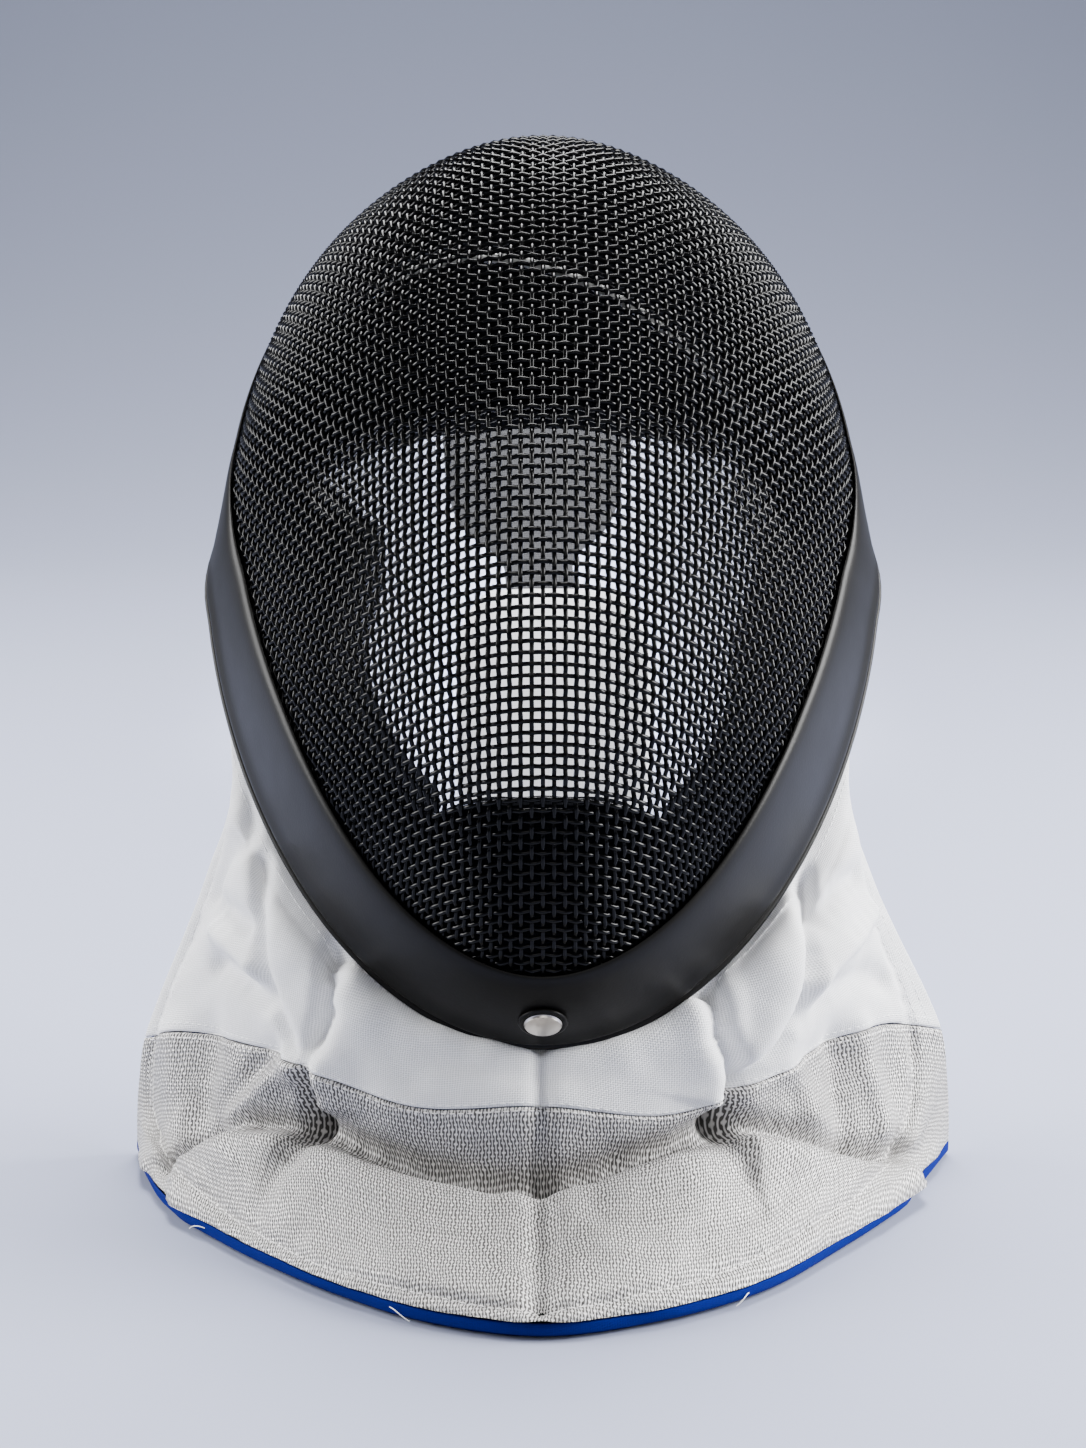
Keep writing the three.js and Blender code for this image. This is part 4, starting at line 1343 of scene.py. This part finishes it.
FOLDS = (
    Fold("centre_seam", ((0, 0.2), (-0.002, 1.0), (-0.002, 2.9), (-0.006, 3.5), (-0.006, 3.96)), -3.4, 2.4),
    Fold("flare_seam", ((-0.006, 3.8), (-0.004, 4.3), (-0.002, 5.0), (0, 5.3)), -3.6, 4.4),
    Fold("flare_seam_low", ((-0.002, 5.0), (0, 5.8)), -0.9, 3.4),
    Fold("block_left", ((-0.38, 0.0), (-0.345, 1.16), (-0.338, 1.75), (-0.358, 2.29), (-0.39, 2.81),
                        (-0.407, 3.24), (-0.412, 3.61), (-0.41, 3.88)), -6.4, 3.2, 3.2, 5.0, Side.RIGHT),
    Fold("block_right", ((0.286, 0.1), (0.278, 0.78), (0.282, 1.55), (0.312, 2.19), (0.347, 2.69),
                         (0.365, 3.17), (0.367, 3.7)), -6.4, 3.2, 3.2, 5.0, Side.LEFT),
    Fold("throat", ((-0.412, 3.88), (-0.358, 4.0), (-0.267, 3.99), (-0.182, 3.97), (-0.103, 4.0),
                    (0.0, 3.97), (0.073, 3.94), (0.15, 3.94), (0.25, 3.9), (0.36, 3.76)), -6.6, 4.4, 6.8,
         9.0, Side.BELOW),
    Fold("flare_left", ((-0.80, 4.72), (-0.785, 4.42), (-0.718, 4.02), (-0.637, 3.95), (-0.532, 3.96),
                        (-0.42, 3.96)), -6.5, 4.0, 5.5, 8.0, Side.BELOW),
    Fold("flare_right", ((0.36, 3.75), (0.468, 3.96), (0.542, 4.01), (0.617, 4.1), (0.708, 4.12),
                         (0.80, 4.2), (0.84, 4.36)), -6.0, 4.0, 5.5, 8.0, Side.BELOW),
    Fold("flap_left", ((-0.40, 2.99), (-0.47, 3.11), (-0.547, 3.46), (-0.613, 3.71), (-0.675, 3.87)), 5.0,
         5.2),
    Fold("pocket_left", ((-0.50, 3.02), (-0.562, 3.28), (-0.623, 3.6), (-0.70, 3.82)), -4.4, 5.0),
    Fold("wing_left", ((-0.86, 3.1), (-0.84, 3.6), (-0.80, 4.1)), 3.0, 8.0),
    Fold("wing_dip_left", ((-0.72, 3.05), (-0.74, 3.5), (-0.76, 3.9)), -3.0, 6.5),
    Fold("quilt_left", ((-0.62, 0.5), (-0.537, 1.38), (-0.502, 1.89), (-0.458, 2.31), (-0.427, 2.89)), -4.0,
         2.8),
    Fold("collar_left", ((-0.712, 0.05), (-0.695, 0.78), (-0.80, 1.4), (-0.86, 1.9)), -3.0, 4.0),
    Fold("rumple_left", ((-0.738, 2.31), (-0.625, 2.21), (-0.512, 2.25)), -5.0, 4.0),
    Fold("rumple_left_mid", ((-0.76, 2.02), (-0.66, 1.93), (-0.56, 1.9)), 3.4, 4.0),
    Fold("rumple_left_high", ((-0.787, 1.88), (-0.685, 1.66), (-0.607, 1.51)), -4.2, 3.8),
    Fold("panel_right", ((0.56, 0.2), (0.525, 0.75), (0.488, 1.5), (0.472, 1.8), (0.455, 2.1),
                         (0.433, 2.42), (0.395, 2.68), (0.36, 2.8)), -6.5, 3.2, 3.0, 6.0, Side.LEFT),
    Fold("rumple_right", ((0.50, 1.75), (0.583, 1.74), (0.70, 1.85), (0.805, 1.93)), 4.2, 3.8),
    Fold("rumple_right_high", ((0.55, 1.1), (0.66, 1.2), (0.78, 1.5)), -4.2, 4.0),
    Fold("rumple_right_low", ((0.50, 2.3), (0.60, 2.25), (0.72, 2.4), (0.82, 2.6)), -3.6, 4.0),
    Fold("gather_right", ((0.70, 2.9), (0.735, 3.3), (0.778, 3.7), (0.80, 4.1)), 3.4, 5.0),
    Fold("gather_right_in", ((0.63, 3.0), (0.66, 3.5), (0.70, 4.0)), -3.6, 5.0),
    Fold("gather_right_mid", ((0.50, 3.0), (0.55, 3.4), (0.60, 3.8)), 2.4, 4.5),
    Fold("flare_wave_left", ((-0.62, 4.9), (-0.45, 5.1), (-0.28, 4.8)), -1.6, 9.0),
    Fold("flare_wave_right", ((0.30, 4.9), (0.46, 4.6), (0.62, 4.7)), -1.6, 9.0),
    Fold("hem_line", ((-0.89, 4.48), (-0.775, 4.8), (-0.585, 5.45), (-0.382, 5.75), (-0.213, 5.6), (0, 5.6),
                      (0.225, 5.5), (0.413, 5.35), (0.673, 5.0), (0.802, 4.5)), -1.7, 2.0),
    Fold("edge_line_left", ((-0.945, 0.4), (-0.948, 3.1), (-0.966, 3.57), (-0.955, 4.2), (-0.89, 4.48)),
         -2.0, 2.0),
    Fold("edge_line_right", ((0.93, 0.4), (0.89, 3.06), (0.89, 3.4), (0.887, 3.75), (0.857, 4.0),
                             (0.802, 4.5)), -2.0, 2.0),
)


@dataclass(frozen=True)
class Pillow:
    """A padded part that stands proud: height x (1 - |x|^4)(1 - |y|^4) over a rectangle of (u, v)."""

    name: str
    u: tuple
    v: tuple
    height: float


PILLOWS = (
    Pillow("chin_block", (-0.40, 0.36), (0.2, 3.8), 3.6),
    Pillow("cheek_left", (-0.72, -0.36), (0.6, 3.0), 1.8),
    Pillow("cheek_right", (0.34, 0.54), (0.4, 2.9), 3.0),
    Pillow("side_right", (0.50, 0.90), (0.8, 3.0), 2.2),
)


@dataclass(frozen=True)
class Bib:
    """Bib of padded outer cloth, white above the seam and silver below it, over a lining."""

    bowl: Bowl
    outer: float = 2.2
    lining: float = 1.3
    gap: float = 0.8
    hem_lift: float = 5.6
    hem_turn: float = 6.0
    side_strip: float = 1.3
    hem_tuck: float = 2.0
    columns: int = 260
    seam: float = 3.0
    last: float = 7.0
    below_rim: float = 6.45
    off_rim: float = 1.2
    edge_calm: float = 0.15
    edge_round: float = 0.85
    rumples: tuple = ((0.9, 19), (0.4, 8))
    lining_blur: float = 5
    lining_reach: int = 4
    stitch_pitch: float = 2.7
    thread_radius: float = 0.16

    def table(self, column: str, u: Array) -> Array:
        """A column of the section table, eased between its rows.

        Args:
            column: Name of the column.
            u: Places from ear to ear.

        Returns:
            A row of values for each place.
        """
        keys = [row.u for row in SECTIONS]
        values = np.array([getattr(row, column) for row in SECTIONS], float).reshape(len(SECTIONS), -1)
        return np.stack([smooth_table(keys, values[:, c], u) for c in range(values.shape[1])], axis=-1)

    def guides(self, u: Array) -> Array:
        """Guide points of the columns, from the trim down to the hem.

        Args:
            u: Place of each column from ear to ear.

        Returns:
            Eight points for each column.
        """
        b = self.table("rim", u)[:, 0]
        turn = np.arccos(1 - 2 * (b - self.bowl.low) / (self.bowl.high - self.bowl.low))
        rim = RimFrame.at(self.bowl, np.where(u < 0, -turn, turn))
        waist, hem = self.table("waist", u), self.table("hem", u)
        across = unit(waist - rim.edge)
        inside = np.zeros_like(rim.edge)
        inside[:, 0] = -np.sign(rim.edge[:, 0])
        clear = np.maximum(0, (inside * rim.up).sum(1)) * (self.outer + self.lining) * np.abs(across[:, 2])
        top = rim.edge - rim.up * (self.below_rim + clear)[:, None] + self.off_rim * rim.out
        at_height = lambda z: np.concatenate([hem, np.full((len(u), 1), z)], axis=1)
        rest = [self.table(name, u) for name in ("hip", "seam", "throat", "brow")]
        return np.stack([top, waist, *rest, at_height(self.hem_turn), at_height(0.0)], axis=1)

    def base(self, u: Array, v: Array) -> Array:
        """The bib's outer face: centripetal Catmull-Rom lines through each column's guides.

        Args:
            u: Columns from ear to ear, -1 to 1.
            v: Rows, a whole number at each guide point.

        Returns:
            Points by row, then column.
        """
        guides = self.guides(u)
        ends = [2 * guides[:, :1] - guides[:, 1:2], guides, 2 * guides[:, -1:] - guides[:, -2:-1]]
        line = np.concatenate(ends, axis=1)
        k = np.clip(np.floor(v).astype(int), 0, guides.shape[1] - 2)
        w = (v - k)[None, :, None]
        p0, p1, p2, p3 = [line[:, k + i] for i in range(4)]
        root = lambda p, q: np.maximum(np.sqrt(np.linalg.norm(p - q, axis=2, keepdims=True)), 1e-3)
        d0, d1, d2 = root(p0, p1), root(p1, p2), root(p2, p3)
        out = ((p1 - p0) / d0 - (p2 - p0) / (d0 + d1) + (p2 - p1) / d1) * d1
        into = ((p2 - p1) / d1 - (p3 - p1) / (d1 + d2) + (p3 - p2) / d2) * d1
        square, cube = -3 * p1 + 3 * p2 - 2 * out - into, 2 * p1 - 2 * p2 + out + into
        cubic = p1 + out * w + square * w**2 + cube * w**3
        return cubic.transpose(1, 0, 2)

    def crease(self, fold: Fold, rows: Array, columns: Array, grid: Array) -> Array:
        """Height of one fold over the base face.

        Args:
            fold: The fold.
            rows: v at each point.
            columns: u at each point.
            grid: Base points.

        Returns:
            Heights along the normal.
        """
        line = np.array(fold.line, float)
        fine = np.linspace(0, len(line) - 1, 90)
        lu = np.interp(fine, np.arange(len(line)), line[:, 0])
        lv = np.interp(fine, np.arange(len(line)), line[:, 1])
        row = np.interp(lv, rows[:, 0], np.arange(rows.shape[0]))
        column = np.interp(lu, columns[0], np.arange(columns.shape[1]))
        places = grid[np.round(row).astype(int), np.round(column).astype(int)]
        distance = np.full(rows.shape, 1e9)
        nearest = np.zeros(rows.shape)
        for k, place in enumerate(places):
            here = ((grid - place) ** 2).sum(-1)
            nearest = np.where(here < distance, k, nearest)
            distance = np.minimum(distance, here)
        distance = np.sqrt(distance)
        height = fold.depth * np.exp(-((distance / fold.width) ** 2))
        if fold.side is Side.NONE:
            return height
        if fold.side is Side.BELOW:
            order = np.argsort(lu)
            beyond = rows > np.interp(columns, lu[order], lv[order])
        else:
            order = np.argsort(lv)
            right = columns > np.interp(rows, lv[order], lu[order])
            beyond = right if fold.side is Side.RIGHT else ~right
        share = nearest / (len(places) - 1)
        ends = smooth_step(0.0, 0.14, share) * smooth_step(1.0, 0.86, share)
        swell = distance / fold.reach * np.exp(1 - distance / fold.reach)
        return height + fold.lip * swell * beyond * ends

    def relief(self, u: Array, v: Array, grid: Array) -> Array:
        """Height of all the folds and padded parts over the base face.

        Args:
            u: Columns.
            v: Rows.
            grid: Base points.

        Returns:
            Heights along the normal.
        """
        rows, columns = np.meshgrid(v, u, indexing="ij")
        height = sum(self.crease(fold, rows, columns, grid) for fold in FOLDS)
        for pillow in PILLOWS:
            x = (2 * columns - pillow.u[0] - pillow.u[1]) / (pillow.u[1] - pillow.u[0])
            y = (2 * rows - pillow.v[0] - pillow.v[1]) / (pillow.v[1] - pillow.v[0])
            inside = np.clip(1 - x**4, 0, 1) * np.clip(1 - y**4, 0, 1)
            height = height + pillow.height * inside
        return blurred(height, 0.8)

    def surface(self, u: Array, v: Array) -> dict:
        """All that the layers share.

        Args:
            u: Columns.
            v: Rows.

        Returns:
            The front's points, the lining's base points, normals and cloth coordinates.
        """
        base = self.base(u, v)
        normal = grid_normals(base)
        down = arc_length(base, axis=0)
        across = arc_length(base, axis=1)
        middle = len(u) // 2
        across = across - across[:, middle:middle + 1]
        seam_row = int(np.argmin(np.abs(v - self.seam)))
        down = down - down[seam_row:seam_row + 1]
        edge = smooth_step(0.0, 0.35, v)[:, None] * smooth_step(self.last, self.last - 0.45, v)[:, None]
        sides = (smooth_step(1.0, 0.93, np.abs(u)))[None, :]
        folds = self.relief(u, v, base)
        noise = sum(height * soft_noise(across, down, size, SEED + k)
                    for k, (height, size) in enumerate(self.rumples))
        lift = (folds + noise) * edge * (self.edge_calm + (1 - self.edge_calm) * sides)
        soft = blurred(lift, self.lining_blur)
        deep = blurred(lowest(lift, self.lining_reach), 2)
        upright = normal.copy()
        upright[-6:, :, 2] = 0
        upright = unit(upright)
        flush = (self.outer + self.gap - 0.5) * smooth_step(self.hem_lift, self.hem_lift - 0.7, base[..., 2])
        tuck = self.hem_tuck * smooth_step(1.8, 0.0, base[..., 2])
        outward = unit(np.gradient(base, axis=1)) * np.sign(u)[None, :, None]
        below_seam = smooth_step(self.seam, self.seam + 0.2, v)[:, None]
        beside = self.side_strip * smooth_step(0.975, 1.0, np.abs(u))[None, :] * below_seam
        return {
            "front": base + upright * lift[..., None],
            "back": base + upright * np.minimum(soft, lift + self.outer - 0.5)[..., None],
            "inside": base + upright * (np.minimum(deep, soft) + flush - tuck)[..., None]
            + beside[..., None] * outward,
            "normal": upright,
            "uv": np.stack([across, down], axis=-1),
        }

    def layer(self, name: str, parts: dict, rows: slice, depths: tuple, hem: float,
              material: bpy.types.Material, keys: tuple) -> bpy.types.Object:
        """One layer of cloth with rounded edges.

        Near an edge both faces draw in by r - sqrt(r^2 - (r - d)^2), with r half the thickness.

        Args:
            name: Name of the piece.
            parts: What surface() gives.
            rows: Rows of the grid that it covers.
            depths: Depth of its front and back face.
            hem: Height of its lower edge.
            material: Its material.
            keys: Which points of parts the front and the back start from.

        Returns:
            The piece.
        """
        normal = parts["normal"][rows]
        uv = parts["uv"][rows]
        radius = (depths[1] - depths[0]) / 2
        to_side = np.minimum(uv[..., 0] - uv[:, :1, 0], uv[:, -1:, 0] - uv[..., 0])
        to_end = np.minimum(uv[..., 1] - uv[:1, :, 1], uv[-1:, :, 1] - uv[..., 1])
        close = np.clip(np.minimum(to_side, to_end), 0, radius)
        draw = radius - np.sqrt(np.maximum(0, radius**2 - (radius - close) ** 2))
        draw = draw * self.edge_round
        front = parts[keys[0]][rows] - normal * (depths[0] + draw)[..., None]
        back = parts[keys[1]][rows] - normal * (depths[1] - draw)[..., None]
        for grid in (front, back):
            grid[..., 2] = np.maximum(grid[..., 2], hem)
        points, faces = wall(front, back)
        flat = uv.reshape(-1, 2)
        return mesh_piece(name, points, faces, material, uv=np.concatenate([flat, flat]))

    def build(self, white: Finish, silver: Finish, blue: Finish, thread: Finish,
              silver_thread: Finish) -> list:
        """Build the three layers with their stitches and loose threads.

        Args:
            white: Finish of the upper cloth.
            silver: Finish of the lower cloth.
            blue: Finish of the lining.
            thread: Finish of the stitches in white cloth.
            silver_thread: Finish of the stitches in silver cloth.

        Returns:
            The pieces.
        """
        close = np.array([0.001, 0.003, 0.005])
        u = np.unique(np.concatenate([np.linspace(-1, 1, self.columns), 1 - close, -1 + close]))
        near = np.array([0.004, 0.01, 0.02])
        v = np.unique(np.round(np.concatenate([
            np.linspace(0, self.seam, 76), near, self.seam - near, self.seam + near,
            np.linspace(self.seam, self.last, 112), np.linspace(6, self.last, 20),
        ]), 4))
        parts = self.surface(u, v)
        coarse = {key: value[::2, ::2] for key, value in parts.items()}
        seam = int(np.argmin(np.abs(v - self.seam)))
        inner = self.outer + self.gap
        face, under = (0, self.outer), (inner - 0.4, inner + self.lining)
        above, below, whole = slice(0, seam + 1), slice(seam + 2, len(v)), slice(0, len(v))
        outside, inside = ("front", "back"), ("inside", "inside")
        upper = self.layer("bib_white_cloth", parts, above, face, 0.0, white.material(), outside)
        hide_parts("bib_white_panel")
        lower = self.layer("bib_silver_cloth", parts, below, face, self.hem_lift, silver.material(), outside)
        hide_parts("bib_silver_panel")
        lining = self.layer("bib_blue_lining", coarse, whole, under, 0.0, blue.material(), inside)
        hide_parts("bib_lining")
        return [upper, lower, lining] + self.stitches(u, v, parts, thread, silver_thread)

    def path(self, u: Array, v: Array, parts: dict, line: Array) -> tuple[Array, Array]:
        """A line of (u, v) places laid on the front.

        Args:
            u: Columns of the grid.
            v: Rows of the grid.
            parts: What surface() gives.
            line: Places, close together.

        Returns:
            Points and normals.
        """
        column = np.interp(line[:, 0], u, np.arange(len(u)))
        row = np.interp(line[:, 1], v, np.arange(len(v)))
        i, j = np.minimum(row.astype(int), len(v) - 2), np.minimum(column.astype(int), len(u) - 2)
        fi, fj = (row - i)[:, None], (column - j)[:, None]
        read = lambda g: ((g[i, j] * (1 - fj) + g[i, j + 1] * fj) * (1 - fi)
                          + (g[i + 1, j] * (1 - fj) + g[i + 1, j + 1] * fj) * fi)
        return read(parts["front"]), unit(read(parts["normal"]))

    def stitches(self, u: Array, v: Array, parts: dict, thread: Finish, silver_thread: Finish) -> list:
        """Rows of stitches: both sides of the seam, the free edges, the hem, the trim and the creases.

        Args:
            u: Columns of the grid.
            v: Rows of the grid.
            parts: What surface() gives.
            thread: Finish on white cloth.
            silver_thread: Finish on silver cloth.

        Returns:
            The pieces.
        """
        even = np.linspace(-1, 1, 700)
        level = lambda row: np.stack([even * 0.965, np.full(700, row)], axis=1)
        down = lambda edge, low, high: np.stack([np.full(260, edge), np.linspace(low, high, 260)], axis=1)
        fold = {f.name: np.array(f.line, float) for f in FOLDS}
        fine = lambda line: np.stack([np.interp(np.linspace(0, len(line) - 1, 200), np.arange(len(line)),
                                                line[:, c]) for c in (0, 1)], axis=1)
        white_rows = [level(2.93), level(0.32), fine(fold["block_right"][:4]), fine(fold["quilt_left"])]
        white_rows += [down(edge, 0.4, 2.97) for edge in (-0.955, 0.955, -0.915, 0.915)]
        left, right = fine(fold["edge_line_left"][1:]), fine(fold["edge_line_right"][1:])
        silver_rows = [level(3.06), fine(fold["hem_line"]), left, left + (0.022, 0.03), right,
                       right - (0.022, -0.03)]
        made = []
        for name, rows, finish, slot in (("stitches_white", white_rows, thread, "white_fabric"),
                                         ("stitches_silver", silver_rows, silver_thread, "silver_fabric")):
            lists = [spread_along(*self.path(u, v, parts, row), self.stitch_pitch, 0.6 + 0.3 * k)
                     for k, row in enumerate(rows)]
            places, along, out = [np.concatenate(group) for group in zip(*lists)]
            obj = mesh_piece(name, *self.beads(places, along, out), finish.material())
            made.append(obj)
        made.append(self.loose_threads(u, v, parts, thread))
        return made

    def loose_threads(self, u: Array, v: Array, parts: dict, thread: Finish) -> bpy.types.Object:
        """Three frayed thread ends at the hem: short arcs that leave the cloth and hang towards the floor.

        Args:
            u: Columns of the grid.
            v: Rows of the grid.
            parts: What surface() gives.
            thread: Their finish.

        Returns:
            The piece.
        """
        starts = np.array([(-0.64, 6.42), (-0.245, 6.45), (0.36, 6.42)])
        places, out = self.path(u, v, parts, starts)
        share = np.linspace(0, 1, 14)[None, :, None]
        side = np.cross(out, (0.0, 0.0, 1.0))[:, None]
        sideways = np.array([7.0, -8.0, 6.0])[:, None, None]
        reach = out[:, None] * (np.sin(share * 2.4) * 1.7 - 0.2) + side * share * sideways
        drop = np.array([0.0, 0.0, 1.0]) * (np.sin(share * 4.0) * 0.5 - share**2 * 1.6)
        paths = places[:, None] + reach + drop
        normals = np.broadcast_to(np.array([0.0, 0.0, 1.0]), paths.shape)
        obj = mesh_piece("loose_threads", *tubes(paths, normals, self.thread_radius, 6), thread.material())
        return obj

    def beads(self, places: Array, along: Array, out: Array) -> tuple[Array, Array]:
        """Short round stitches: ellipsoids 1.9 mm long, 0.5 mm wide, sunk halfway in the cloth.

        Args:
            places: Their centres.
            along: Their directions.
            out: Normals of the cloth.

        Returns:
            Points and faces.
        """
        rng = np.random.default_rng(SEED)
        places = places + along * rng.uniform(-0.15, 0.15, (len(places), 1)) - out * 0.08
        out = unit(out - along * (out * along).sum(1, keepdims=True))
        side = np.cross(along, out)
        angle = np.arange(6) / 6 * 2 * np.pi
        shape = [(-0.95, 0.02), (-0.7, 0.2), (0.0, 0.27), (0.7, 0.2), (0.95, 0.02)]
        rings = [places[:, None] + a * along[:, None] + r * (np.cos(angle)[:, None] * out[:, None]
                 + np.sin(angle)[:, None] * side[:, None]) for a, r in shape]
        points = np.stack(rings, axis=1).reshape(-1, 3)
        one = quads(len(shape), 6, wrap=True)
        faces = (np.arange(len(places))[:, None, None] * len(shape) * 6 + one).reshape(-1, 4)
        return points, faces


# Stage


@dataclass(frozen=True)
class Studio:
    """Camera at the photo's angle, a pale floor that sweeps up far behind, and soft lights."""

    camera: tuple = (0.0, -0.86947, 0.3344)
    pitch: float = 78.0
    lens: float = 70.58
    sweep_start: float = 1.3
    sweep_radius: float = 3.2
    floor_colour: tuple = (0.25, 0.27, 0.365)

    def camera_object(self) -> None:
        """Make the camera and set it."""
        data = bpy.data.cameras.new("camera")
        data.lens = self.lens
        data.sensor_width = 36.0
        obj = bpy.data.objects.new("camera", data)
        obj.location = self.camera
        obj.rotation_euler = (math.radians(self.pitch), 0, 0)
        bpy.context.scene.collection.objects.link(obj)
        bpy.context.scene.camera = obj

    def floor(self) -> None:
        """A level floor that turns up through a quarter circle into a wall."""
        turn = np.linspace(0, np.pi / 2, 48)
        far = self.sweep_start + self.sweep_radius
        y = np.concatenate([[-4.0], self.sweep_start + self.sweep_radius * np.sin(turn), [far]])
        z = np.concatenate([[0.0], self.sweep_radius * (1 - np.cos(turn)), [6.0]])
        rows = [[(x, a, b) for x in (-6.0, 6.0)] for a, b in zip(y, z)]
        mesh = bpy.data.meshes.new("floor")
        mesh.from_pydata(np.array(rows).reshape(-1, 3).tolist(), [], quads(len(y), 2).tolist())
        mesh.shade_smooth()
        paint = Finish("floor_paint", self.floor_colour, 0.85, specular=0.2, mottle=0.0)
        mesh.materials.append(paint.material())
        obj = bpy.data.objects.new("floor", mesh)
        bpy.context.scene.collection.objects.link(obj)
        obj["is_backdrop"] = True

    def area(self, name: str, place: tuple, aim: tuple, size: float, power: float, colour: tuple) -> None:
        """A square soft light.

        Args:
            name: Its name.
            place: Where it stands, in metres.
            aim: What it points at.
            size: Its side.
            power: Its power in watts.
            colour: Its colour.
        """
        data = bpy.data.lights.new(name, "AREA")
        data.size, data.energy, data.color = size, power, colour
        obj = bpy.data.objects.new(name, data)
        obj.location = place
        obj.rotation_euler = aimed(place, aim)
        obj.visible_camera = False
        bpy.context.scene.collection.objects.link(obj)

    def strip(self, name: str, place: tuple, size: tuple, power: float) -> None:
        """A long light with a grid, straight down, for the floor that shows through the mesh.

        Args:
            name: Its name.
            place: Where it hangs, in metres.
            size: Its width and length.
            power: Its power in watts.
        """
        data = bpy.data.lights.new(name, "AREA")
        data.shape, data.size, data.size_y = "RECTANGLE", size[0], size[1]
        data.energy, data.spread = power, math.radians(14)
        obj = bpy.data.objects.new(name, data)
        obj.location = place
        obj.visible_camera = False
        bpy.context.scene.collection.objects.link(obj)

    def build(self) -> None:
        """Build the stage, the lights and the camera."""
        world = bpy.data.worlds.new("studio")
        world.use_nodes = True
        world.node_tree.nodes["Background"].inputs[0].default_value = (0.84, 0.86, 0.92, 1)
        world.node_tree.nodes["Background"].inputs[1].default_value = 0.11
        bpy.context.scene.world = world
        self.floor()
        self.area("top_light", (0.05, 0.50, 1.55), (0, 0, 0.05), 0.9, 98, (1, 1, 1))
        self.area("front_light", (0.1, -1.55, 1.0), (0, 0, 0.1), 1.0, 8, (1, 1, 1))
        self.area("left_light", (-1.25, 0.12, 0.60), (0, 0, 0.15), 0.8, 42, (1, 1, 1))
        self.area("right_light", (1.25, 0.05, 0.65), (0, 0, 0.15), 0.8, 84, (1, 1, 1))
        self.area("back_wall_light", (0, 1.6, 2.4), (0, 3.8, 0.6), 1.6, 60, (0.93, 0.96, 1))
        self.area("inner_fill_light", (0, 0.0, 0.262), (0, 0.09, 0.13), 0.05, 0.6, (1, 1, 1))
        self.strip("strip_light", (0, 1.35, 1.3), (0.16, 1.5), 10)
        self.camera_object()


def aimed(place: tuple, aim: tuple) -> tuple:
    """Turn that points an object's -Z from one place to another.

    Args:
        place: Where it stands.
        aim: What it points at.

    Returns:
        Its turns about X, Y and Z, in radians.
    """
    x, y, z = [b - a for a, b in zip(place, aim)]
    flat = math.hypot(x, y)
    return (math.atan2(flat, -z), 0, math.atan2(-x, y))


WIRE = Finish("coated_wire", (0.002, 0.002, 0.0022), 0.14, specular=0.11, mottle=0.04, scale=400)
RUBBER = Finish("trim_rubber", (0.004, 0.0037, 0.0033), 0.38, specular=0.11, mottle=0.05, relief=0.00003,
                scale=90)
NICKEL = Finish("nickel", (0.62, 0.58, 0.53), 0.30, metallic=1.0, mottle=0.06, relief=0.00002, scale=300)
PAD = Cloth("pad_fabric", (0.004, 0.005, 0.009), 0.95, specular=0.05, mottle=0.0, pitch=(0.8, 0.8),
            gap_colour=(0.002, 0.002, 0.004), gap_share=0.6, tone=0.4, thread=0.0002)
WHITE = Cloth("white_fabric", (0.87, 0.87, 0.88), 0.85, specular=0.25, sheen=0.1, pitch=(0.74, 0.62),
              wander=1.5, gap_colour=(0.42, 0.42, 0.44), gap_share=0.6, tone=0.08, thread=0.00014)
SILVER = Cloth("silver_fabric", (0.82, 0.80, 0.785), 0.5, metallic=0.15, specular=0.4, pitch=(1.0, 1.35),
               wander=3.0, slit=0.75, gap_colour=(0.06, 0.056, 0.053), gap_share=1.0, tone=0.4,
               thread=0.00024, glint=0.6)
BLUE = Cloth("blue_lining", (0.0006, 0.008, 0.16), 0.9, specular=0.1, pitch=(0.5, 0.5),
             gap_colour=(0.0004, 0.004, 0.08), gap_share=0.5, tone=0.2, thread=0.00008)
# Dark grey of the tongue strip: painted shade, for the shade the strip hangs in behind the pads, beside the
# pale plate.
STRAP_GREY_PAINTED_SHADE = Cloth("grey_fabric", (0.085, 0.086, 0.092), 0.9, specular=0.2, pitch=(0.7, 0.7),
             gap_colour=(0.04, 0.04, 0.045), gap_share=0.5, tone=0.2, thread=0.00012)
PLATE = Cloth("plate_fabric", (0.80, 0.80, 0.81), 0.88, specular=0.2, pitch=(0.62, 0.6),
              gap_colour=(0.5, 0.5, 0.52), gap_share=0.5, tone=0.08, thread=0.0001)
# White thread of the stitches; it also paints the pale tube that stands in for light through the slot between
# the forehead and crown pads.
WHITE_THREAD_AND_SLOT_LIGHT = Finish("white_thread_and_slot_light", (0.82, 0.82, 0.82), 0.6, specular=0.4, mottle=0.0)
SILVER_THREAD = Finish("silver_thread", (0.74, 0.72, 0.70), 0.45, metallic=0.2, specular=0.5, mottle=0.0)


def plain(bounds: object) -> object:
    """Bounds as plain lists and numbers."""
    if isinstance(bounds, dict):
        return {key: plain(value) for key, value in bounds.items()}
    return [plain(value) for value in bounds] if hasattr(bounds, "__len__") else float(bounds)


def main() -> None:
    """Build the mask piece by piece, then the stage, and measure the sizes before and after."""
    logging.basicConfig(level=logging.INFO, format="%(name)s: %(message)s")
    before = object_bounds()
    GROUPS.update(weave=weave_group(), wear=wear_group())
    bowl = Bowl()
    WireNet(bowl).build(WIRE)
    TrimBand(bowl).build(RUBBER)
    Rivet(bowl).build(NICKEL, RUBBER)
    Pads(bowl).build(PAD, WHITE_THREAD_AND_SLOT_LIGHT)
    Tongue().build(STRAP_GREY_PAINTED_SHADE, PLATE)
    Bib(bowl).build(WHITE, SILVER, BLUE, WHITE_THREAD_AND_SLOT_LIGHT, SILVER_THREAD)
    Studio().build()
    {"cad": plain(before), "scene": plain(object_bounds())}


if __name__ == "__main__":
    main()
